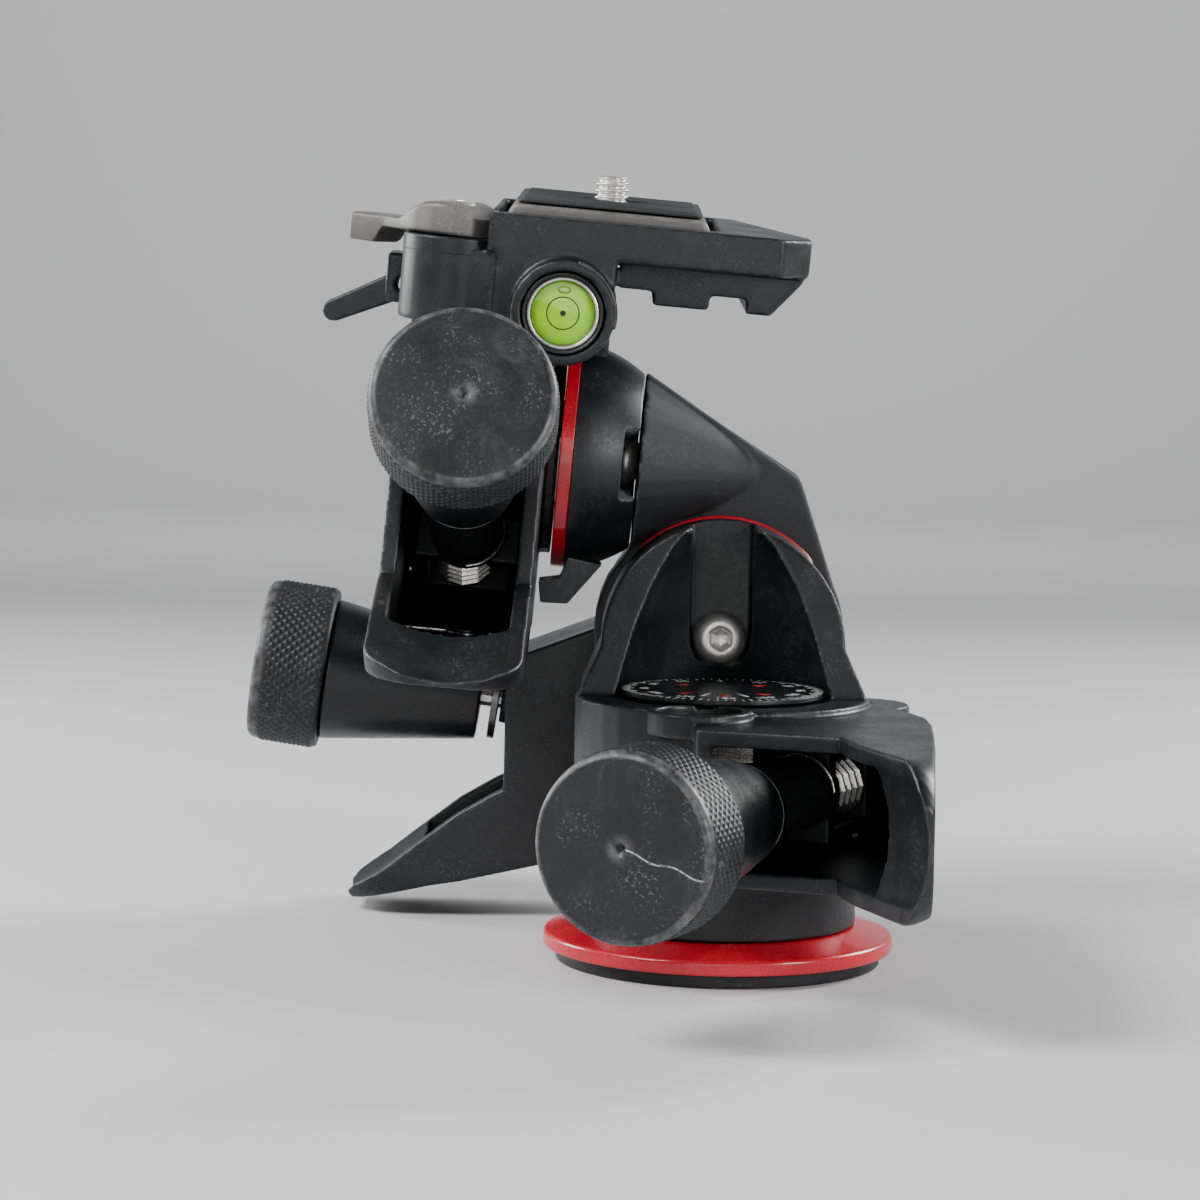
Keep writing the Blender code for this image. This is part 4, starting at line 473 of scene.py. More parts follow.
# %% Casting helper
def merged_copy(nodes, extra=()):
    """One mesh from copies of CAD nodes, their doubles merged, and any further closed meshes."""
    form = bmesh.new()
    for node in nodes:
        form.from_mesh(NODES[node].data)
    bmesh.ops.remove_doubles(form, verts=form.verts, dist=MERGE)
    for points, faces in extra:
        made = [form.verts.new(point) for point in np.asarray(points).tolist()]
        for face in faces:
            form.faces.new([made[corner] for corner in face])
    mesh = bpy.data.meshes.new("guide")
    form.to_mesh(mesh)
    form.free()
    return mesh


def edge_wear(mesh, low=0.05, high=0.22, rounds=2):
    """How far a point stands out from its neighbours' middle along its normal, over their distance."""
    count = len(mesh.vertices)
    place = np.empty(count * 3)
    mesh.vertices.foreach_get("co", place)
    place = place.reshape(-1, 3)
    normal = np.empty(count * 3)
    mesh.vertices.foreach_get("normal", normal)
    normal = normal.reshape(-1, 3)
    pairs = np.empty(len(mesh.edges) * 2, np.int32)
    mesh.edges.foreach_get("vertices", pairs)
    first, second = pairs.reshape(-1, 2).T
    near = np.bincount(first, minlength=count) + np.bincount(second, minlength=count)

    def neighbours(values):
        """The mean of a value over the neighbours of each point."""
        total = np.bincount(first, values[second], count) + np.bincount(second, values[first], count)
        return total / np.maximum(near, 1)
    middle = np.stack([neighbours(place[:, axis]) for axis in range(3)], axis=1)
    length = np.linalg.norm(place[first] - place[second], axis=1)
    reach = np.bincount(first, length, count) + np.bincount(second, length, count)
    reach = reach / np.maximum(near, 1)
    bulge = ((place - middle) * normal).sum(axis=1) / np.maximum(reach, MERGE)
    for _ in range(rounds):
        bulge = (bulge + neighbours(bulge)) / 2
    return np.clip((bulge - low) / (high - low), 0, 1)


def casting(name, nodes, body, material, voxel=0.5 * MM, rounds=4, most=90000, extra=(),
            reshape=None):
    """A rounded copy of CAD nodes: rebuilt from voxels, smoothed, thinned to a number of triangles.

    Before it is thinned, a function can carry its points elsewhere, as one array.
    """
    guide = bpy.data.objects.new("guide", merged_copy(nodes, extra))
    bpy.context.scene.collection.objects.link(guide)
    shell = guide.modifiers.new("Voxels", "REMESH")
    shell.mode = "VOXEL"
    shell.voxel_size = voxel
    shell.use_smooth_shade = True
    soften = guide.modifiers.new("Soften", "SMOOTH")
    soften.factor = 0.5
    soften.iterations = rounds
    mesh = bpy.data.meshes.new_from_object(guide.evaluated_get(bpy.context.evaluated_depsgraph_get()))
    guide.modifiers.clear()
    guide.data = mesh
    if reshape:
        place = np.empty(len(mesh.vertices) * 3)
        mesh.vertices.foreach_get("co", place)
        mesh.vertices.foreach_set("co", reshape(place.reshape(-1, 3)).ravel())
        mesh.update()
    wear = mesh.attributes.new("wear", "FLOAT", "POINT")
    wear.data.foreach_set("value", edge_wear(mesh))
    faces = 2 * len(mesh.polygons)
    if faces > most:
        thin = guide.modifiers.new("Thin", "DECIMATE")
        thin.ratio = most / faces
        mesh = bpy.data.meshes.new_from_object(guide.evaluated_get(bpy.context.evaluated_depsgraph_get()))
    bpy.data.objects.remove(guide)
    mesh.shade_smooth()
    piece = add_piece(name, mesh, material, body, None)
    if nodes:
        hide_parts(*nodes)
    return piece


# %% Reshaping
def unplaced(points, placement):
    """World points as points of a space: the inverse of placed."""
    return (points - placement[:3, 3]) @ placement[:3, :3]


WING_BEND = 36.0 * MM
WING_TIP = 43.8 * MM
WING_SHARE = 0.82
WING_CORNER = 7.5 * MM


def round_wing(drive):
    """A wing's end gets round corners: its last half widths follow a quarter of an ellipse."""
    def reshape(points):
        """The same points, drawn in toward the wing's middle line by a share that grows toward its tip."""
        local = unplaced(points, DRIVES[drive])
        beyond = np.maximum(local[:, 1] - WING_BEND, 0)
        local[:, 1] -= (1 - WING_SHARE) * beyond
        way = np.clip((local[:, 1] - WING_TIP + WING_CORNER) / WING_CORNER, 0, 1)
        local[:, 2] *= 1 - 0.62 * (1 - np.sqrt(1 - 0.98 * way ** 2))
        return placed(local, DRIVES[drive])
    return reshape


LEVEL_CENTRE = np.array([-35.1, 29.8]) * MM
HOOD_RADIUS = 9.7 * MM


def round_hood(points):
    """Right and below the level's centre, the body is drawn in to the circle of the level's hood."""
    local = unplaced(points, HEAD)
    away = local[:, [0, 2]] - LEVEL_CENTRE
    distance = np.linalg.norm(away, axis=1)
    corner = (away[:, 0] > 0) & (away[:, 1] < 0) & (local[:, 1] < -13 * MM) & (distance > HOOD_RADIUS)
    corner &= distance < 1.6 * HOOD_RADIUS
    share = np.where(corner, HOOD_RADIUS / np.maximum(distance, MERGE), 1)
    local[:, [0, 2]] = LEVEL_CENTRE + away * share[:, None]
    return placed(local, HEAD)


# %% Body, frames, arm and platform
casting("pan_casting", ["pan_housing"], "pan_body", BLACK_CASTING, voxel=0.36 * MM,
        rounds=7,
        most=190000, reshape=round_wing("pan"))
casting("roll_frame_casting", ["roll_drive_frame"], "pan_body", BLACK_CASTING,
        voxel=0.36 * MM,
        rounds=7, most=120000, reshape=round_wing("roll"))
casting("pitch_frame_casting", ["pitch_drive_frame"], "tilt_head", BLACK_CASTING,
        voxel=0.36 * MM,
        rounds=7, most=150000, reshape=round_wing("pitch"))
casting("platform_casting", ["platform"], "tilt_head", BLACK_CASTING, voxel=0.36 * MM,
        rounds=14,
        most=150000, reshape=round_hood)
casting("arm_casting", ["arm"], "roll_arm", GREY_CASTING, voxel=0.4 * MM, rounds=8,
        most=120000)
for drive in DRIVE_NAMES:
    casting(f"{drive}_carrier_casting", [f"{drive}_worm_carrier"], f"{drive}_carrier", GREY_CASTING,
            voxel=0.35 * MM, rounds=2, most=20000)


# %% The arm's housing
NOTCH_FLOOR = -21.7 * MM
NOTCH_HALF = 6.6 * MM


def turned_housing():
    """A turned cone with a notch toward the camera: its radius is nothing there, above a floor."""
    way = np.linspace(1, 0, 70)[:, None]
    side = np.hstack([16.9 + 4.7 * (1 - (1 - way) ** 1.8), -18.95 - 12.0 * way]) * MM
    face = soft_corners(np.array([(16.95, -19.0), (16.7, -18.8), (5.3, -18.8),
                                  (5.3, NOTCH_FLOOR / MM - 0.2),
                                  (3.3, NOTCH_FLOOR / MM - 0.2), (3.3, -31.0)]) * MM, 0.3 * MM)
    profile = np.concatenate([[[11.3 * MM, -31 * MM], [21.5 * MM, -31 * MM]], side, face[1:]])
    turn = np.linspace(0, math.tau, 360, endpoint=False)
    radius, height = profile[:, :1] + 0 * turn, profile[:, 1:] + 0 * turn
    notch = (height > NOTCH_FLOOR) & (np.abs(radius * np.sin(turn)) < NOTCH_HALF) & (np.cos(turn) < 0)
    radius = np.where(notch, np.minimum(radius, 3.4 * MM), radius)
    height = np.where(notch, NOTCH_FLOOR, height)
    points = np.stack([radius * np.cos(turn), radius * np.sin(turn), height], axis=-1).reshape(-1, 3)
    mesh = mesh_from("housing_shell", placed(points, PITCH_AXIS), grid_quads(len(profile), len(turn), True))
    mesh.attributes.new("wear", "FLOAT", "POINT").data.foreach_set("value", edge_wear(mesh))
    return add_piece("housing_shell", mesh, BLACK_CASTING, "roll_arm", "pitch_housing")


turned_housing()


# %% The stop under the housing
STOP_OUTLINE = [(-30.1, 13.1), (-31.4, 9.1), (-35.3, 8.3), (-34.6, 4.2), (-29.5, 4.4), (-23.7, 12.3)]
STOP_LEVELS = (-19.0 * MM, -10.0 * MM)


def prism(outline, levels, placement):
    """A closed prism: the outline at two levels, its two faces and its sides."""
    outline = np.array(outline) * MM
    count = len(outline)
    points = np.concatenate([np.column_stack([outline, np.full(count, level)]) for level in levels])
    near = np.arange(count)
    after = (near + 1) % count
    sides = np.stack([near, after, after + count, near + count], axis=1).tolist()
    return placed(points, placement), [near[::-1].tolist(), (near + count).tolist()] + sides


casting("stop_casting", [], "roll_arm", WORN_CASTING, voxel=0.2 * MM, rounds=3, most=20000,
        extra=[prism(STOP_OUTLINE, STOP_LEVELS, ARM_FRONT)])

# %% [markdown]
# ## Knobs
# A knob is a tapered barrel with a wide cap whose rim is knurled: two sets of slanted grooves leave
# rows of little pyramids, which a hand can hold with cold fingers. A texture would vanish at the
# outline, so the pyramids are real. Their height at a point is the smaller of two zigzags, one for
# each set of grooves.

# %% Knob caps
CAP_RADIUS = 16.2 * MM
CAP_LOW = 74.5 * MM
CAP_HIGH = 86.8 * MM
CAP_CROWN = 88.7 * MM
CAP_EDGE = 1.6 * MM
SPIGOT_RADIUS = 12.5 * MM
SPIGOT_END = 84.5 * MM
KNURL_COUNT = 54
KNURL_ROWS = 6
KNURL_STEPS = 8
KNURL_DEPTH = 0.36 * MM


def zigzag(value):
    """A wave of straight lines that goes from 0 to 1 and back with each whole number."""
    return 1 - np.abs(2 * (value % 1) - 1)


def scratched_cap():
    """A long scratch on a knob's face: a thin band round a wavy line in UV, broken up by noise."""
    material = KNOB_RUBBER.copy()
    material.name = "Scratched knob plastic"
    tree = material.node_tree
    paint = tree.nodes["Principled BSDF"].inputs["Base Color"]
    place = put(tree, "ShaderNodeUVMap", uv_map="face").outputs[0]
    across, up, _ = put(tree, "ShaderNodeSeparateXYZ", {0: place}).outputs
    along = calc(tree, "SUBTRACT", across, 0.5)
    wave = calc(tree, "MULTIPLY", calc(tree, "SINE", calc(tree, "MULTIPLY", along, 27.0)), 0.010)
    line = calc(tree, "ADD", calc(tree, "MULTIPLY", along, -0.26), wave)
    away = calc(tree, "ABSOLUTE", calc(tree, "SUBTRACT", calc(tree, "SUBTRACT", up, 0.5), line))
    mask = band(tree, away, 0.0025, 0.0065, 1.0, 0.0)
    for limit in (band(tree, along, 0.0, 0.03), band(tree, along, 0.42, 0.47, 1.0, 0.0),
                  band(tree, noise(tree, place, 42.0, 3.0), 0.30, 0.55)):
        mask = calc(tree, "MULTIPLY", mask, limit)
    tree.links.new(mixed(tree, mask, paint.links[0].from_socket, (0.34, 0.35, 0.36, 1)), paint)
    return material


SCRATCHED_CAP = scratched_cap()


def knob_cap(drive):
    """The cap's profile goes round the axis, and between two heights its radius loses the knurl's depth."""
    placement = WORMS[drive]
    low, high = CAP_LOW + 0.8 * MM, CAP_HIGH - 0.7 * MM
    rim = np.linspace(high, low, KNURL_ROWS * KNURL_STEPS + 1)
    edge = np.linspace(0, math.pi / 2, 9)
    crown_drop = 0.3 * MM
    face = np.array([[0, CAP_CROWN - 1.1 * MM], [0.5 * MM, CAP_CROWN - 1.0 * MM],
                     [0.9 * MM, CAP_CROWN - 0.25 * MM],
                     [1.4 * MM, CAP_CROWN], [3 * MM, CAP_CROWN], [8 * MM, CAP_CROWN - crown_drop / 3]])
    corner_radius = CAP_RADIUS - KNURL_DEPTH
    corner = np.stack([corner_radius - CAP_EDGE + CAP_EDGE * np.sin(edge),
                       CAP_CROWN - crown_drop - CAP_EDGE + CAP_EDGE * np.cos(edge)], axis=1)
    wall = np.stack([np.full(len(rim), CAP_RADIUS), rim], axis=1)
    foot = np.array([[corner_radius, CAP_LOW + 0.5 * MM], [corner_radius - 0.3 * MM, CAP_LOW + 0.1 * MM],
                     [corner_radius - 0.8 * MM, CAP_LOW], [SPIGOT_RADIUS, CAP_LOW],
                     [SPIGOT_RADIUS, CAP_LOW + 0.2 * MM],
                     [SPIGOT_RADIUS, SPIGOT_END], [0, SPIGOT_END]])
    profile = np.concatenate([face, corner, wall, foot])
    columns = KNURL_COUNT * KNURL_STEPS
    turn = np.linspace(0, math.tau, columns, endpoint=False)
    around = KNURL_COUNT * turn / math.tau
    along = (profile[:, 1:] - low) / (high - low) * KNURL_ROWS
    tooth = np.minimum(zigzag(around + along), zigzag(around - along))
    knurled = np.zeros(len(profile))
    start = len(face) + len(corner)
    knurled[start:start + len(wall)] = 1
    knurled[[start, start + len(wall) - 1]] = 0
    radius = profile[:, :1] - KNURL_DEPTH * (profile[:, :1] >= CAP_RADIUS - MERGE) * (1 - tooth * knurled[:,
                                                                                                          None])
    points = np.stack([radius * np.cos(turn), radius * np.sin(turn), profile[:, 1:] + 0 * turn], axis=-1)
    flat = points.reshape(-1, 3)
    wear = (tooth ** 4 * knurled[:, None]).ravel() * 0.25
    number = np.arange(len(profile))
    wear += np.repeat(np.where((number > len(face) + 1) & (number < start), 0.9, 0), columns)
    wear += np.repeat(np.where((number > 0) & (number < 4), 0.8, 0), columns)
    uv = flat[:, :2] / (2 * CAP_RADIUS) + 0.5
    mesh = mesh_from(f"{drive}_knob_cap", placed(flat, placement), grid_quads(len(profile), columns),
                     {"wear": wear}, uv)
    material = SCRATCHED_CAP if drive == "pan" else KNOB_RUBBER
    return add_piece(f"{drive}_knob_cap", mesh, material, f"{drive}_knob", f"{drive}_knob_grip")


for drive in DRIVE_NAMES:
    knob_cap(drive)

# %% [markdown]
# ## Barrels, washers and pins
# The barrel between cap and carrier is a smooth cone with two shallow flats, where a spanner once
# held it. Behind it a steel washer takes the thrust of the worm. Both are turned surfaces, and the
# flats are made by holding back the points that would stand further out than the flat.

# %% Barrels
BARREL_START = 43.5 * MM
BARREL_START_RADIUS = 9.2 * MM
BARREL_END_RADIUS = 14.0 * MM
FLAT_RANGE = (49.0 * MM, 66.0 * MM)
FLAT_DEPTH = 10.5 * MM
FLAT_HALF = 4.6 * MM


def barrel(drive):
    """A cone whose points are held within the flat's distance on two sides, between two heights."""
    root = CAP_LOW - 0.3 * MM
    profile = np.array([[0, 84.2 * MM], [12.2 * MM, 84.2 * MM], [12.2 * MM, root],
                        [BARREL_END_RADIUS, root],
                        [BARREL_START_RADIUS, BARREL_START], [0, BARREL_START]])
    profile = soft_corners(profile, 0.6 * MM)
    last, first = profile[-9], profile[-10]
    between = first + (last - first) * np.linspace(0, 1, 90)[1:-1, None]
    profile = np.concatenate([profile[:-9], between, profile[-9:]])
    turn = np.linspace(0, math.tau, 192, endpoint=False)
    radius, height = profile[:, :1], profile[:, 1:]
    across = radius * np.cos(turn)
    side = radius * np.sin(turn)
    inside = (height > FLAT_RANGE[0]) & (height < FLAT_RANGE[1]) & (np.abs(side) < FLAT_HALF)
    across = np.where(inside & (np.abs(across) > FLAT_DEPTH), np.sign(across) * FLAT_DEPTH, across)
    points = np.stack([across, side, height + 0 * turn], axis=-1).reshape(-1, 3)
    mesh = mesh_from(f"{drive}_barrel", placed(points, WORMS[drive]), grid_quads(len(profile), len(turn)))
    return add_piece(f"{drive}_barrel", mesh, BARREL, f"{drive}_knob", f"{drive}_knob_core")


def ring_profile(inner, outer, low, high):
    """The section of a plain ring, down its outer side and back up its bore."""
    return [(inner, high), (outer, high), (outer, low), (inner, low)]


PIVOT = -14.0 * MM
for drive in DRIVE_NAMES:
    barrel(drive)
    turned_piece(f"{drive}_thrust_disc", ring_profile(2.8 * MM, 8.6 * MM, 39.9 * MM, 41.3 * MM),
                 WORMS[drive], OILED_STEEL,
                 f"{drive}_carrier", f"{drive}_thrust_washer", 0.2 * MM, True)
    pin_body = "tilt_head" if drive == "pitch" else "pan_body"
    pin_place = turned_space(DRIVES[drive], [0, 1, 2], (PIVOT, 0, 0))
    pin = [(0, 13.45 * MM), (2 * MM, 13.45 * MM), (2 * MM, -13.45 * MM), (0, -13.45 * MM)]
    turned_piece(f"{drive}_pin", pin, pin_place, STEEL, pin_body, f"{drive}_pivot_pin", steps=48)

# %% [markdown]
# ## Return springs
# A spring of one wire turns round the pivot and pushes the worm into its wheel. One end lies on the
# channel's floor in a loop, the other hooks round the carrier. A wire is a circle carried along a
# path: at each point of the path the circle stands square to the path, and its start direction is
# handed on from point to point so that the tube doesn't twist.

# %% Wire along a path
def smooth_path(points, steps=4):
    """Catmull-Rom: a cubic between two points, whose slopes come from the points around them."""
    points = np.asarray(points, float)
    padded = np.concatenate([2 * points[:1] - points[1:2], points, 2 * points[-1:] - points[-2:-1]])
    p0, p1, p2, p3 = padded[:-3], padded[1:-2], padded[2:-1], padded[3:]
    t = np.linspace(0, 1, steps, endpoint=False)[None, :, None]
    p0, p1, p2, p3 = (p[:, None, :] for p in (p0, p1, p2, p3))
    curve = 0.5 * (2 * p1 + (p2 - p0) * t + (2 * p0 - 5 * p1 + 4 * p2 - p3) * t ** 2
                   + (3 * p1 - p0 - 3 * p2 + p3) * t ** 3)
    return np.concatenate([curve.reshape(-1, 3), points[-1:]])


def wire(path, radius, sides=12):
    """A round wire: a circle in the plane of two directions that stand square to the path at each point."""
    ahead = np.gradient(path, axis=0)
    ahead /= np.linalg.norm(ahead, axis=1, keepdims=True)
    start = np.cross(ahead[0], [0.31, 0.87, 0.39])

    def hand_on(before, direction):
        """The direction before, made square to the path again."""
        kept = before - direction * (before @ direction)
        return kept / np.linalg.norm(kept)
    first = np.array(list(accumulate(ahead, hand_on, initial=start))[1:])
    second = np.cross(ahead, first)
    turn = np.linspace(0, math.tau, sides, endpoint=False)[None, :, None]
    rings = path[:, None, :] + radius * (np.cos(turn) * first[:, None, :] + np.sin(turn) * second[:, None,
                                                                                                  :])
    ends = [path[:1, None, :] + 0 * rings[:1], path[-1:, None, :] + 0 * rings[:1]]
    rings = np.concatenate([ends[0], rings, ends[1]])
    return rings.reshape(-1, 3), grid_quads(len(rings), sides)


# %% The springs
WIRE_RADIUS = 0.55 * MM
COIL_RADIUS = 4.3 * MM
COIL_START = -9.7 * MM
COIL_END = 4.6 * MM
COIL_TURNS = 6.5
HOOK = 1.6 * MM
FOOT_PLACE = (8.5 * MM, 18.2 * MM)
FOOT_SLOPE = math.radians(24)
SPRING_REST = 7.4 * MM
HOOK_REACH = 15.0 * MM


def circle_arc(centre, radius, start, end, steps):
    """Points of an arc: centre plus radius times the cosine and sine of angles in degrees."""
    angle = np.radians(np.linspace(start, end, steps + 1))
    return np.stack([centre[0] + radius * np.cos(angle), centre[1] + radius * np.sin(angle)], axis=1)


def spring_path():
    """The wire in the drive's space: looped foot, coil, run along the carrier, hook over the nose."""
    foot = np.concatenate([[[HOOK, -HOOK]], circle_arc((HOOK, COIL_END / 2), HOOK, -50, 180, 7),
                           [[0, COIL_START * 0.45], [0, COIL_START * 0.90], [-HOOK / 2, COIL_START]]])
    floor = np.stack([FOOT_PLACE[0] + foot[:, 0] * math.cos(FOOT_SLOPE),
                      FOOT_PLACE[1] + foot[:, 0] * math.sin(FOOT_SLOPE), foot[:, 1]], axis=1)
    start = np.array([PIVOT, COIL_RADIUS, COIL_START])
    bend = np.array([PIVOT * 0.7, COIL_RADIUS * 1.15, COIL_START])
    lead = np.array([floor[-1] + (bend - floor[-1]) * share for share in (0.35,
                                                                          0.70)] + [bend + (start - bend) * 0.25])
    count = round(COIL_TURNS * 12)
    share = np.linspace(0, 1, count + 1)
    angle = math.pi / 2 + math.tau * COIL_TURNS * share
    coil = np.stack([PIVOT + COIL_RADIUS * np.cos(angle), COIL_RADIUS * np.sin(angle),
                     COIL_START + (COIL_END - COIL_START) * share], axis=1)
    run = np.array([[-6.2 * MM, -COIL_RADIUS, (COIL_END + SPRING_REST) / 2],
                    [-3.1 * MM, -COIL_RADIUS, SPRING_REST],
                    [12 * MM, -COIL_RADIUS, SPRING_REST]])
    over = np.radians([60, 90, 120, 150, 175])
    hook = np.stack([np.full(5, HOOK_REACH), -SPRING_REST * np.cos(over), SPRING_REST * np.sin(over)],
                    axis=1)
    return smooth_path(np.concatenate([floor, lead, coil, run, hook]), 5)


for drive in DRIVE_NAMES:
    points, quads = wire(placed(spring_path(), DRIVES[drive]), WIRE_RADIUS)
    # painted light: dark at the coil, brighter toward the run, the hook and the foot, handed to the finish as the
    # wear attribute
    painted_light_share = np.clip(unplaced(points, DRIVES[drive])[:, 0] / (6 * MM) + 1, 0, 1)
    spring_body = "tilt_head" if drive == "pitch" else "pan_body"
    mesh = mesh_from(f"{drive}_spring_wire", points, quads, {"wear": painted_light_share})
    add_piece(f"{drive}_spring_wire", mesh, WIRE_WITH_PAINTED_LIGHT, spring_body,
              f"{drive}_return_spring")

# %% [markdown]
# ## Rings, drum, foot and housings
# The red rings, the base drum and the foot are turned parts with small broken edges. A turned edge
# catches one thin line of light, so each profile gets soft corners before it goes round the axis.

# %% Turned parts of the base
turned_piece("foot_disc", ring_profile(8.3 * MM, 30 * MM, 0, 2.3 * MM), WORLD, BLACK_CASTING, "base",
             "base_foot",
             0.3 * MM, True, 200)
base_ring = [(21.9, 7.2), (25.4, 7.2), (32.0, 5.4), (32.4, 4.9), (32.4, 2.9), (32.1, 2.6), (21.9, 2.6)]
turned_piece("base_ring_red", np.array(base_ring) * MM, WORLD, RED_RING, "base", "base_ring",
             0.35 * MM,
             True, 240)
drum = [(8.3, 19.9), (25.4, 19.9), (25.4, 7.5), (21.6, 7.5), (21.6, 2.6), (8.3, 2.6)]
turned_piece("base_drum_black", np.array(drum) * MM, WORLD, BLACK_CASTING, "base", "base_drum",
             0.4 * MM, True, 200)
pitch_ring = ring_profile(11.3 * MM, 21.7 * MM, -33.5 * MM, -31.03 * MM)
turned_piece("pitch_ring_red", pitch_ring, PITCH_AXIS, RED_RING, "roll_arm", "pitch_ring",
             0.25 * MM,
             True, 200)

# %% [markdown]
# ## Threads and button screws
# A thread is a turned surface whose radius also depends on the angle: going once round moves the
# ridge up by one pitch. A socket is made in the same way, with a radius that follows a hexagon near
# the axis and a circle further out.

# %% Turned surfaces whose radius changes with the angle
def shaped(name, radius, height, placement, material, body, node):
    """A grid of radii and heights, one row for each step of the profile, carried round the axis."""
    turn = np.linspace(0, math.tau, radius.shape[1], endpoint=False)
    points = np.stack([radius * np.cos(turn), radius * np.sin(turn), height + 0 * turn],
                      axis=-1).reshape(-1, 3)
    mesh = mesh_from(name, placed(points, placement), grid_quads(*radius.shape))
    return add_piece(name, mesh, material, body, node)


def roll_ring_red():
    """The ring under the tower's rim: it stands out at the top and draws back at both sides."""
    turn = np.linspace(0, math.tau, 240, endpoint=False)
    section = np.array([(3.3, -23.4), (3.3, -22.5), (22.8, -22.5), (22.95, -22.65), (22.95, -24.15),
                        (22.8, -24.3),
                        (3.3, -24.3), (3.3, -23.4)]) * MM
    side = np.clip((np.degrees(np.abs(turn - math.pi / 2)) - 42) / 8, 0, 1)
    inset = np.where(section[:, :1] > 20 * MM, 0.9 * MM * side ** 2, 0)
    shaped("roll_ring_red", section[:, :1] - inset, section[:, 1:], ARM_FRONT, RED_RING, "roll_arm",
           "roll_ring")


roll_ring_red()


def thread_rows(major, minor, pitch, low, high, columns, chamfer):
    """Rows from low to high: the radius is a ridge with flat top and foot, one pitch up for each turn."""
    height = np.linspace(low, high, round((high - low) / pitch * 16) + 1)[:, None]
    turn = np.linspace(0, 1, columns, endpoint=False)
    ridge = 0.5 - 0.5 * np.cos(math.pi * np.clip(zigzag(height / pitch - turn) * 1.5 - 0.25, 0, 1))
    taper = np.clip((high - height) / chamfer, 0, 1)
    return (minor + (major - minor) * ridge * taper) - (1 - taper) * chamfer / 4, height


def camera_screw():
    """The screw's head with its slot, then the thread: rows of the head come first."""
    columns = 96
    turn = np.linspace(0, math.tau, columns, endpoint=False)
    low, seat, tip = 38.5 * MM, 40.6 * MM, 53.8 * MM
    disc = np.linspace(0, 7.8 * MM, 20)[:, None] + 0 * turn
    slot_depth = 0.9 * MM * (np.abs(disc * np.sin(turn)) < 0.8 * MM)
    rim = np.array([7.95, 8.0, 8.0, 7.9, 6.0, 3.6])[:, None] * MM + 0 * turn
    rim_height = np.array([38.55, 38.75, 40.35, 40.6, 40.6, 40.6])[:, None] * MM + 0 * turn
    ridge, height = thread_rows(3.175 * MM, 2.62 * MM, 1.27 * MM, seat, tip, columns, 0.6 * MM)
    top = np.array([0.7, 0.0])[:, None] * ridge[-1:]
    radius = np.concatenate([disc, rim, ridge, top])
    heights = np.concatenate([low + slot_depth, rim_height, height + 0 * turn, np.full((2, columns), tip)])
    place = turned_space(HEAD, [0, 1, 2], (-28.4 * MM, 0, 0))
    return shaped("camera_screw_thread", radius, heights, place, SATIN_STEEL, "camera_screw",
                  "camera_screw")


camera_screw()


def button_screw(name, head_radius, head_height, shank, length, placement, body, node):
    """A domed head with a hexagon socket: the radius is a hexagon's inside and a circle's outside."""
    turn = np.linspace(0, math.tau, 120, endpoint=False)
    hexagon = math.cos(math.pi / 6) / np.cos((turn + math.pi / 6) % (math.pi / 3) - math.pi / 6)
    socket = head_radius * 0.46
    lean = np.radians(np.linspace(90, 12, 9))
    dome_radius = socket * 1.22 + (head_radius - socket * 1.22) * np.cos(lean)
    dome_height = head_height * (0.16 + 0.84 * np.sin(lean))
    rows = [(0, 0.20, 1), (0.55 * socket, 0.26, 1), (0.97 * socket, 0.34, 1), (socket, 0.38, 1),
            (socket, 0.93, 1),
            (1.05 * socket, 0.985, 0.7), (1.15 * socket, 1.0, 0.1)]
    rows = [(radius, height * head_height, share) for radius, height, share in rows]
    rows += [(radius, height, 0) for radius, height in zip(dome_radius, dome_height)]
    rows += [(head_radius, 0.04 * head_height, 0), (head_radius * 0.985, 0, 0), (shank, 0, 0),
             (shank, -length, 0),
             (0, -length, 0)]
    radius, height, share = np.array(rows).T[:, :, None]
    radius = radius * (share * hexagon + (1 - share))
    shaped(name, radius, height, placement, SATIN_STEEL, body, node)


button_screw("roll_button_screw", 5 * MM, 3.4 * MM, 3 * MM, 35.2 * MM,
             turned_space(ROLL_AXIS, [0, 1, 2], (0, 0, -18.7 * MM)), "pan_body", "roll_axle_screw")
button_screw("pitch_button_screw", 5.2 * MM, 2.9 * MM, 3 * MM, 31.9 * MM,
             turned_space(PITCH_AXIS, [0, 1, 2], (0, 0, -21.55 * MM)), "roll_arm", "pitch_axle_screw")


def bush_thread():
    """The bush is a ring whose bore carries the thread of the tripod's screw."""
    ridge, height = thread_rows(4.76 * MM, 4.2 * MM, 1.588 * MM, 0.5 * MM, 12.8 * MM, 96, MERGE)
    flat = np.ones((1, 96))
    outer = [(4.9, 12.95), (7.7, 13.0), (8.0, 12.7), (8.0, 0.6), (7.7, 0.3), (4.9, 0.35)]
    radius = np.concatenate([ridge] + [flat * place * MM for place, _ in outer])
    heights = np.concatenate([height * flat] + [flat * level * MM for _, level in outer])
    turn = np.linspace(0, math.tau, 96, endpoint=False)
    points = np.stack([radius * np.cos(turn), radius * np.sin(turn), heights], axis=-1).reshape(-1, 3)
    mesh = mesh_from("bush_thread", points, grid_quads(len(radius), 96, True))
    add_piece("bush_thread", mesh, STEEL, "base", "tripod_bush")


bush_thread()

# %% [markdown]
# ## The dial
# The dial under the tower is a black plate with white divisions. Printed marks can be drawn by a
# shader or laid on as thin shapes. Thin shapes stay crisp at any distance and ride with the plate,
# so each division is a sliver and each number a flat letter shape.

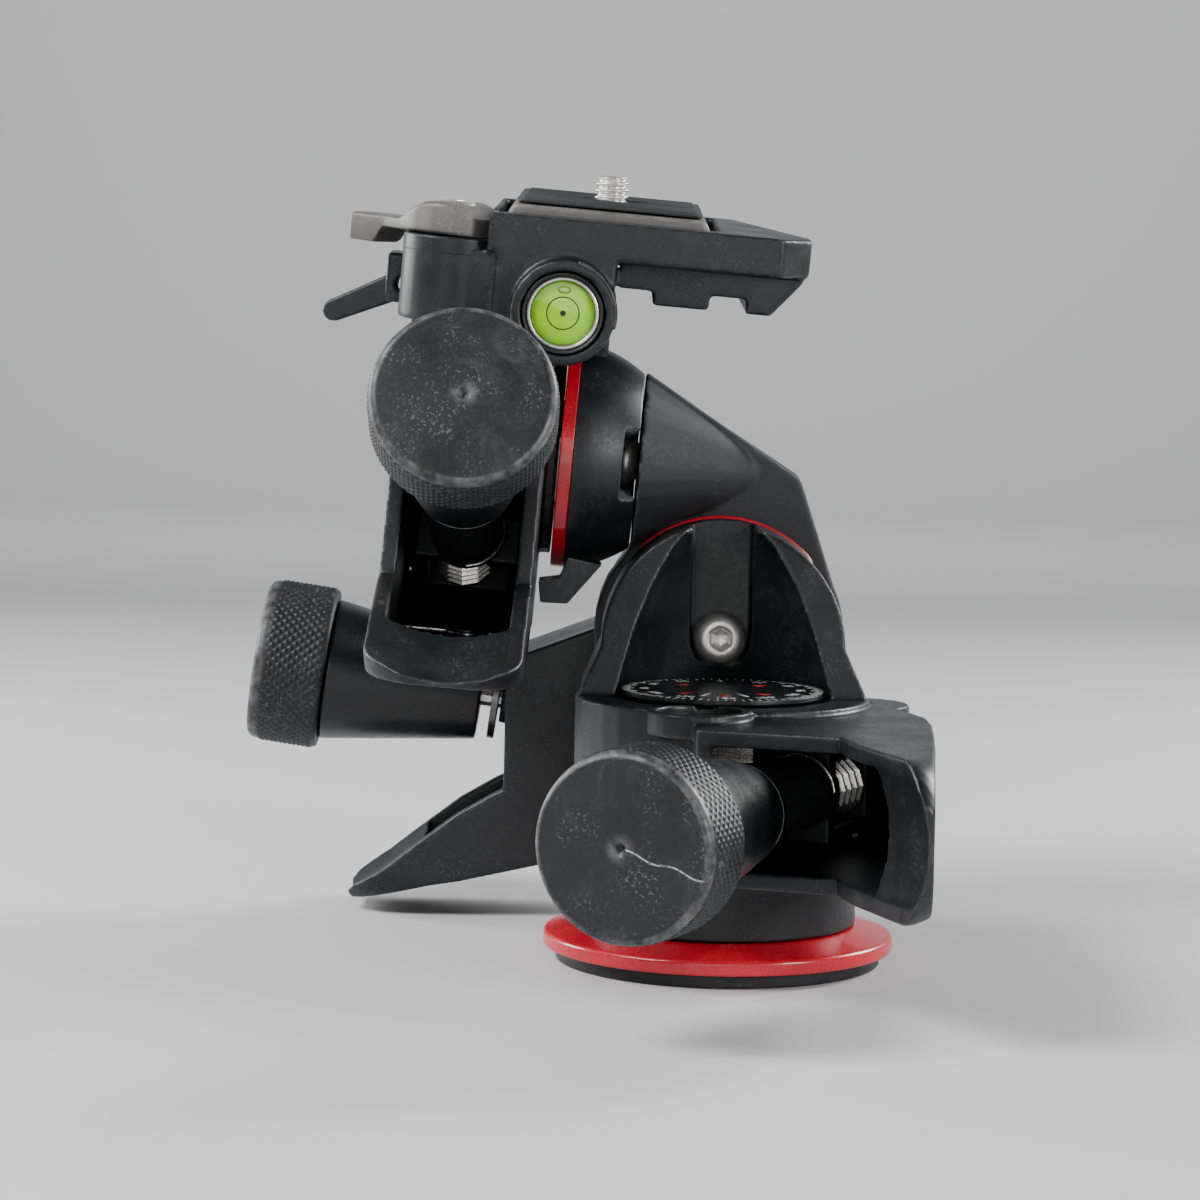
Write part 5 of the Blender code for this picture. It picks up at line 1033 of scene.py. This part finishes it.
# %% Dial and marks
DIAL_TOP = 50.2 * MM
dial = [(0, 50.2), (19.05, 50.2), (19.05, 49.3), (7.7, 49.3), (7.7, 42.7), (0, 42.7)]
turned_piece("dial_plate", np.array(dial) * MM, WORLD, DIAL_BLACK, "base", "pan_dial", 0.2 * MM)


def plain(name, colour, roughness=0.5, metallic=0.0):
    """A flat finish for prints and enamel, and for the bubble's painted shade and highlight: its colour and gloss
    vary a little with a fine noise.
    """
    return finish(name, PAINT, {
        "Colour": (*colour, 1), "Worn": (*[channel * 0.6 for channel in colour], 1), "Roughness": roughness,
        "Grain": 2500.0, "Grain depth": 0.2, "Wear": 0.0, "Dust": 0.3, "Scratch": 0.2}, bump=0.1,
                  Metallic=metallic)


WHITE_PRINT = plain("White print", (0.55, 0.55, 0.54))
RED_PRINT = plain("Red print", (0.45, 0.02, 0.02))
PRINT_THICKNESS = 0.04 * MM


def division_marks(name, angles, inner, outer, half, material, body, level):
    """Slivers: each is a box between two radii, turned to its angle."""
    angles = np.radians(np.asarray(angles, float))[:, None]
    inner = np.broadcast_to(np.asarray(inner, float).reshape(-1, 1), angles.shape)
    corners = np.array([(0, -1), (1, -1), (1, 1), (0, 1)], float)
    along = inner + (outer - inner) * corners[:, 0]
    side = half * corners[:, 1]
    flat = np.stack([along * np.cos(angles) - side * np.sin(angles),
                     along * np.sin(angles) + side * np.cos(angles)], -1)
    levels = np.array([level - PRINT_THICKNESS, level + PRINT_THICKNESS])
    points = np.concatenate([np.broadcast_to(flat[:, None], (len(angles), 2, 4, 2)),
                             np.broadcast_to(levels[None, :, None, None], (len(angles), 2, 4, 1))], axis=-1)
    sides = [(0, 1, 5, 4), (1, 2, 6, 5), (2, 3, 7, 6), (3, 0, 4, 7), (3, 2, 1, 0), (4, 5, 6, 7)]
    faces = (np.arange(len(angles))[:, None, None] * 8 + np.array(sides)[None]).reshape(-1, 4)
    return add_piece(name, mesh_from(name, points.reshape(-1, 3), faces), material, body, None)


def print_numbers(name, words, radius, size, material, body, level):
    """Numbers round a circle: flat letter shapes, each turned to its place and joined to one mesh."""
    form = bmesh.new()
    for degrees, word in words:
        text = bpy.data.curves.new("word", "FONT")
        text.body = word
        text.size = size
        text.extrude = PRINT_THICKNESS
        text.align_x = "CENTER"
        text.align_y = "CENTER"
        guide = bpy.data.objects.new("word", text)
        bpy.context.scene.collection.objects.link(guide)
        bpy.context.view_layer.update()
        mesh = bpy.data.meshes.new_from_object(guide.evaluated_get(bpy.context.evaluated_depsgraph_get()))
        angle = math.radians(degrees)
        mesh.transform(Matrix.Translation((radius * math.cos(angle), radius * math.sin(angle), level))
                       @ Matrix.Rotation(angle + math.pi / 2, 4, "Z"))
        form.from_mesh(mesh)
        bpy.data.objects.remove(guide)
    mesh = bpy.data.meshes.new(name)
    form.to_mesh(mesh)
    form.free()
    return add_piece(name, mesh, material, body, None)


fives = np.arange(0, 360, 5)
division_marks("dial_divisions", fives, np.where(fives % 15 == 0, 16.4, 17.2) * MM, 18.7 * MM, 0.12 * MM,
               WHITE_PRINT,
               "base", DIAL_TOP)
print_numbers("dial_numbers", [(90 - turn, str(min(turn, 360 - turn))) for turn in range(0, 360, 30)],
              14.6 * MM,
              2.6 * MM, WHITE_PRINT, "base", DIAL_TOP)
division_marks("dial_red_marks", [45, 135, 225, 270, 315], [9.0 * MM] * 5, 11.6 * MM, 0.9 * MM, RED_PRINT,
               "base",
               DIAL_TOP)
division_marks("dial_bars", [250, 290], [7.5 * MM, 7.5 * MM], 12.2 * MM, 0.35 * MM, WHITE_PRINT, "base",
               DIAL_TOP)

# %% [markdown]
# ## Levels
# A round level is a pale metal cup with a glass vial full of green fluid. A black circle is printed
# on the glass and a bubble floats under it. The one on the head faces the camera. The one on the pan
# body lies deep in its boss, so from the side only its dark mouth shows.

# %% Level parts
def fluid_material():
    """Bright green fluid under a clear coat, with painted shade toward the rim, where the glass bends, and a
    faint painted glow from emission.
    """
    material = bpy.data.materials.new("Green level fluid with painted shade and glow")
    material.use_nodes = True
    tree = material.node_tree
    shader = tree.nodes["Principled BSDF"]
    # painted shade: the rim share darkens the green toward the vial's edge, where the glass bends
    rim = put(tree, "ShaderNodeAttribute", attribute_name="rim").outputs["Fac"]
    cloud = noise(tree, object_place(tree), 350.0, 2.0)
    share = calc(tree, "ADD", rim, band(tree, cloud, 0.3, 0.7, -0.08, 0.08), True)
    colour = mixed(tree, share, (0.27, 0.58, 0.012, 1), (0.07, 0.21, 0.008, 1))
    tree.links.new(colour, shader.inputs["Base Color"])
    tree.links.new(band(tree, cloud, 0.2, 0.8, 0.05, 0.12), shader.inputs["Roughness"])
    shader.inputs["Coat Weight"].default_value = 0.25
    shader.inputs["Specular IOR Level"].default_value = 0.35
    # painted glow: the fluid gives off a faint green light of its own
    shader.inputs["Emission Color"].default_value = (0.30, 0.62, 0.01, 1)
    shader.inputs["Emission Strength"].default_value = 0.12
    return material


FLUID_WITH_PAINTED_LIGHT = fluid_material()
BLACK_PRINT = plain("Black print", (0.004, 0.006, 0.004), 0.25)
# The bubble's two finishes are painted light: a darker green for its edge is painted shade, a lighter green for
# its middle is a painted highlight.
BUBBLE_PAINTED_SHADE = plain("Bubble painted shade", (0.16, 0.30, 0.04), 0.10)
BUBBLE_PAINTED_HIGHLIGHT = plain("Bubble painted highlight", (0.42, 0.62, 0.16), 0.10)
VIAL_RADIUS = 5.75 * MM
BEZEL_RADIUS = 6.55 * MM
SEAT_RADIUS = 7.3 * MM
LEVEL_FOOT = -4.6 * MM


def vial_height(radius, top):
    """The glass's crown: it drops with the square of the radius."""
    return top - 0.4 * MM * (radius / VIAL_RADIUS) ** 2


def make_level(name, placement, body, top):
    """Cup, vial, printed circle and dot, and the bubble at the rim's highest side as a darker oval of painted
    shade with a lighter painted highlight.
    """
    cup = [(5.85 * MM, top - 0.2 * MM), (5.95 * MM, top + 0.35 * MM), (6.2 * MM, top + 0.45 * MM),
           (BEZEL_RADIUS, top + 0.3 * MM), (BEZEL_RADIUS, top - 1.0 * MM), (5.85 * MM, top - 1.0 * MM)]
    turned_piece(f"{name}_cup", cup, placement, BEZEL, body, f"{name}_bezel", 0.12 * MM, True)
    collar = [(6.6 * MM, top + 0.2 * MM), (7.0 * MM, top + 0.9 * MM), (SEAT_RADIUS, top + 0.9 * MM),
              (SEAT_RADIUS, LEVEL_FOOT), (5.9 * MM, LEVEL_FOOT), (5.9 * MM, top - 1.1 * MM),
              (6.6 * MM, top - 1.1 * MM)]
    turned_piece(f"{name}_collar", collar, placement, BLACK_CASTING, body, None, 0.2 * MM,
                 True)
    radii = np.linspace(0, VIAL_RADIUS, 24)
    profile = np.concatenate([np.stack([radii, vial_height(radii, top)], 1), [[5.8 * MM, top - 0.8 * MM],
                              [5.8 * MM, LEVEL_FOOT], [0, LEVEL_FOOT]]])
    points, quads = lathe(profile, placement, 96)
    # the share of painted shade toward the vial's rim, which the fluid's finish reads
    rim = np.repeat(np.clip((profile[:, 0] / VIAL_RADIUS - 0.62) / 0.38, 0, 1) ** 2, 96)
    add_piece(f"{name}_glass", mesh_from(f"{name}_glass", points, quads, {"rim": rim}), FLUID_WITH_PAINTED_LIGHT, body,
              f"{name}_vial")
    for part, inner, outer in (("circle", 2.80 * MM, 3.03 * MM), ("dot", 0, 0.52 * MM)):
        lift = 0.03 * MM
        high, low = vial_height(outer, top) + lift, vial_height(outer, top) - lift
        ring = [(inner, high), (outer, high), (outer, low), (inner, low)]
        turned_piece(f"{name}_{part}", ring, placement, BLACK_PRINT, body, None, 0.01 * MM,
                     inner > 0, 72)
    lobe = np.radians(np.linspace(90, -90, 12))
    bubble = np.stack([np.cos(lobe), np.sin(lobe)], axis=1)
    globe, quads = lathe(bubble, WORLD, 40)
    # the bubble: a darker oval of painted shade, with a smaller, lighter oval of painted highlight above it
    for part, size, lift, material in (("bubble", (1.25, 0.72, 0.16), -0.20, BUBBLE_PAINTED_SHADE),
                                       ("bubble_painted_highlight", (0.85, 0.42, 0.16), -0.14, BUBBLE_PAINTED_HIGHLIGHT)):
        points = (globe * np.array(size) + np.array([-0.1, 4.2, lift])) * MM + np.array([0, 0, top])
        add_piece(f"{name}_{part}", mesh_from(f"{name}_{part}", placed(points, placement), quads), material,
                  body,
                  None)


HEAD_LEVEL = space(HEAD[:3, 0], HEAD[:3, 2], -HEAD[:3, 1], placed([(-35.1 * MM, -39.5 * MM, 29.8 * MM)],
                                                                  HEAD)[0])
make_level("head_level", HEAD_LEVEL, "tilt_head", -0.8 * MM)
make_level("pan_level", space((1, 0, 0), (0, 1, 0), (0, 0, 1), (-5 * MM, -27 * MM, 49.4 * MM)), "pan_body",
           -3.1 * MM)


# %% The lip beside the level
def hood_lip():
    """A raised lip round the right of the hood: a wire of oval section along an arc."""
    arc = circle_arc((0, 0), 9.45 * MM, 78, -12, 40)
    path = np.column_stack([arc, np.full(len(arc), -0.35 * MM)])
    points, quads = wire(placed(path, HEAD_LEVEL), 0.42 * MM)
    mesh = mesh_from("hood_lip", points, quads, {"wear": np.full(len(points), 0.5)})
    add_piece("hood_lip", mesh, BLACK_CASTING, "tilt_head", None)


hood_lip()

# %% [markdown]
# ## Plate, pad and lever
# The quick-release plate is die-cast and stands in a pocket of the platform. Its pad is ribbed
# rubber. The zinc lever that clamps it is a bar that swells over its pivot: a rounded rectangle is
# carried along the bar, and its width, top and foot change on the way.

# %% Plate and pad
PAD_WIDEN = np.array([1.13, 1.06, 1.0])


def widen_pad(points):
    """The pad's points, moved outwards so that the sheet nearly covers the plate's top."""
    middle = np.array([-28.4 * MM, 0, 0])
    return placed(middle + (unplaced(points, HEAD) - middle) * PAD_WIDEN, HEAD)


casting("plate_casting", ["quick_plate"], "plate", PLATE_METAL, voxel=0.35 * MM, rounds=2,
        most=60000)
casting("pad_sheet", ["plate_pad"], "plate", PAD_RUBBER, voxel=0.2 * MM, rounds=1, most=30000,
        reshape=widen_pad)
casting("catch_casting", ["safety_catch"], "safety_catch", BLACK_CASTING, voxel=0.25 * MM,
        rounds=9,
        most=20000)
PAD_TOP = 49.1 * MM
PAD_HALF = (17.0 * MM, 24.6 * MM)
PAD_HOLE = 5.6 * MM
RIB_RADIUS = 0.28 * MM


def pad_ribs():
    """Ribs across the pad: half-round bars side by side, shortened where the screw's hole is."""
    side = np.linspace(-PAD_HALF[1] + 1.2 * MM, PAD_HALF[1] - 1.2 * MM, 34)
    lobe = np.linspace(0, math.pi, 7)
    points, faces, total = [], [], 0
    for place in side:
        gap = math.sqrt(max(PAD_HOLE ** 2 - place ** 2, 0))
        ends = [(-PAD_HALF[0] + 1.0 * MM, -gap), (gap, PAD_HALF[0] - 1.0 * MM)]
        ends = ends if gap else [(ends[0][0], ends[1][1])]
        for low, high in ends:
            along = np.array([low, low + 0.2 * MM, high - 0.2 * MM, high])[:, None]
            size = np.array([0.2, 1, 1, 0.2])[:, None]
            across = place + RIB_RADIUS * size * np.cos(lobe)
            height = PAD_TOP - 0.05 * MM + RIB_RADIUS * size * np.sin(lobe)
            points.append(np.stack([along + 0 * across, across, height], axis=-1).reshape(-1, 3))
            faces.append(grid_quads(4, 7) + total)
            total += 28
    place = turned_space(HEAD, [0, 1, 2], (-28.4 * MM, 0, 0))
    mesh = mesh_from("pad_ribs", placed(np.concatenate(points), place), np.concatenate(faces))
    add_piece("pad_ribs", mesh, PAD_RUBBER, "plate", None)


pad_ribs()


# %% Clamp lever
LEVER_FOOT = 41.3 * MM
LEVER_TAB = 4.2 * MM
LEVER_HUB = 17.25 * MM
HUB_RADIUS = 7.5 * MM


def clamp_lever():
    """Rounded rectangles along the bar: half width, top and foot follow tables, averaged over 1.5 mm."""
    tip, pivot = np.array([-71.0, -15.0]) * MM, np.array([-56.6, -24.5]) * MM
    ahead = (pivot - tip) / np.linalg.norm(pivot - tip)
    across = np.array([-ahead[1], ahead[0]])
    station = np.linspace(-LEVER_TAB, LEVER_HUB + HUB_RADIUS, 120)

    def table(places, values):
        """Straight lines through the table, averaged over a short way, so that its corners are soft."""
        fine = np.interp(station, np.array(places) * MM, np.array(values) * MM)
        near = np.abs(station[:, None] - station) < 0.75 * MM
        return (near @ fine) / near.sum(axis=1)
    crest = table([-4.2, 9.0, 11.5, 15.0, 19.0, 22.0, 24.8], [43.4, 43.5, 45.6, 47.2, 47.4, 46.7, 44.4])
    foot = table([-4.2, 2.5, 3.6, 24.8], [38.2, 38.2, 41.3, 41.3])
    half = table([-4.2, 4.0, 9.0, 13.0, 17.0, 24.8], [4.2, 4.3, 5.6, 6.9, 7.5, 7.5])
    half = np.minimum(half, np.sqrt(np.maximum(HUB_RADIUS ** 2 - np.maximum(station - LEVER_HUB, 0) ** 2,
                                               0)))
    start = np.clip((station + LEVER_TAB) / (0.8 * MM), 0, 1)
    half = half * np.sqrt(1 - (1 - start) ** 2)
    middle, tall = (crest + foot) / 2, (crest - foot) / 2
    tall = tall * np.clip(start, 0.4, 1) ** 0.35
    turn = np.linspace(0, math.tau, 64, endpoint=False)
    square = 0.24
    side = half[:, None] * np.sign(np.cos(turn)) * np.abs(np.cos(turn)) ** square
    height = middle[:, None] + tall[:, None] * np.sign(np.sin(turn)) * np.abs(np.sin(turn)) ** square
    plan = tip + station[:, None, None] * ahead + side[..., None] * across
    points = np.concatenate([plan, height[..., None]], axis=-1)
    mesh = mesh_from("lever_bar", placed(points.reshape(-1, 3), HEAD), grid_quads(len(points), 64))
    mesh.attributes.new("wear", "FLOAT", "POINT").data.foreach_set("value", edge_wear(mesh, 0.08, 0.35))
    add_piece("lever_bar", mesh, PLATE_METAL, "clamp_lever", "clamp_lever")


clamp_lever()
lever_top = turned_space(HEAD, [0, 1, 2], (-56.6 * MM, -24.5 * MM, 46.3 * MM))
button_screw("lever_button_screw", 3.9 * MM, 1.3 * MM, 2.3 * MM, 16.0 * MM, lever_top, "tilt_head",
             "lever_screw")
boss_top = [(0, 41.15 * MM), (9.0 * MM, 41.15 * MM), (9.0 * MM, 38.0 * MM), (0, 38.0 * MM)]
turned_piece("lever_boss_top", boss_top, turned_space(HEAD, [0, 1, 2], (-56.6 * MM, -24.5 * MM, 0)),
             BLACK_CASTING,
             "tilt_head", None, 0.4 * MM)
catch_pin = turned_space(space(HEAD[:3, 0], HEAD[:3, 2], -HEAD[:3, 1], HEAD[:3, 3]), [0, 1, 2],
                         (-65.5 * MM, 30.5 * MM, 9.0 * MM))
turned_piece("catch_pin_steel", [(0, 4.3 * MM), (1.2 * MM, 4.3 * MM), (1.2 * MM, -4.3 * MM),
                                 (0, -4.3 * MM)], catch_pin,
             STEEL, "tilt_head", "catch_pin", steps=40)

# %% [markdown]
# ## Pieces that keep their CAD solid
# The worms, wheels, hubs and the column hide deep inside. Their solids already have the right shape,
# so they only get a finish: steel for what turns under load, brass for the wheels.

# %% Finishes on CAD nodes
KEPT = {"steel": ("worm", "hub", "pan_column", "column_nut"), "brass": ("wheel", "pan_thrust_ring")}
for node, solid in NODES.items():
    for label, endings in KEPT.items():
        if node.endswith(endings):
            solid.material_slots[0].material = STEEL if label == "steel" else BRASS
            print(node, "gets", label)

# %% [markdown]
# ## Studio
# A plain pale floor that sweeps up into the background, one large soft lamp from the upper left, a
# weaker one from the right for the second rim of light, and a dim fill.

# %% Floor and lights
def sweep_stage():
    """A floor that bends up behind the object: a line, a quarter circle and a line, drawn out sideways."""
    bend = circle_arc((1.4, 0.5), 0.5, -90, 0, 12)
    profile = np.concatenate([[[-2.5, 0]], bend, [[1.9, 2.6]]])
    across = np.linspace(-3, 3, 2)
    points = np.stack([across[None, :] + 0 * profile[:, :1], profile[:, :1] + 0 * across,
                       profile[:, 1:] + 0 * across], axis=-1)
    mesh = bpy.data.meshes.new("floor")
    mesh.from_pydata(points.reshape(-1, 3).tolist(), [], grid_quads(len(profile), 2, False, False).tolist())
    mesh.shade_smooth()
    floor = bpy.data.objects.new("floor", mesh)
    bpy.context.scene.collection.objects.link(floor)
    paper = bpy.data.materials.new("Pale paper")
    paper.use_nodes = True
    shader = paper.node_tree.nodes["Principled BSDF"]
    shader.inputs["Base Color"].default_value = (0.55, 0.55, 0.56, 1)
    shader.inputs["Roughness"].default_value = 0.9
    mesh.materials.append(paper)


def lamp(name, place, target, size, power):
    """A square area lamp that faces a point."""
    light = bpy.data.lights.new(name, "AREA")
    light.size = size
    light.energy = power
    made = bpy.data.objects.new(name, light)
    made.location = place
    made.rotation_euler = (Vector(target) - Vector(place)).to_track_quat("-Z", "Y").to_euler()
    bpy.context.scene.collection.objects.link(made)


sweep_stage()
TARGET = (-0.01, 0, 0.07)
lamp("Key", (-0.60, -0.30, 0.70), TARGET, 0.35, 12)
lamp("Right front", (0.62, -0.55, 0.28), TARGET, 0.22, 5)
lamp("Right rim", (0.60, 0.35, 0.40), TARGET, 0.25, 7)
lamp("Left rim", (-0.65, 0.30, 0.25), TARGET, 0.25, 5)
lamp("Front fill", (-0.10, -0.90, 0.16), TARGET, 0.5, 2.0)
lamp("Backdrop", (0.0, 0.95, 0.95), (0, 1.9, 0.75), 1.2, 13)
world = bpy.data.worlds.new("Studio")
world.use_nodes = True
world.node_tree.nodes["Background"].inputs["Color"].default_value = (0.75, 0.77, 0.80, 1)
world.node_tree.nodes["Background"].inputs["Strength"].default_value = 0.10
bpy.context.scene.world = world
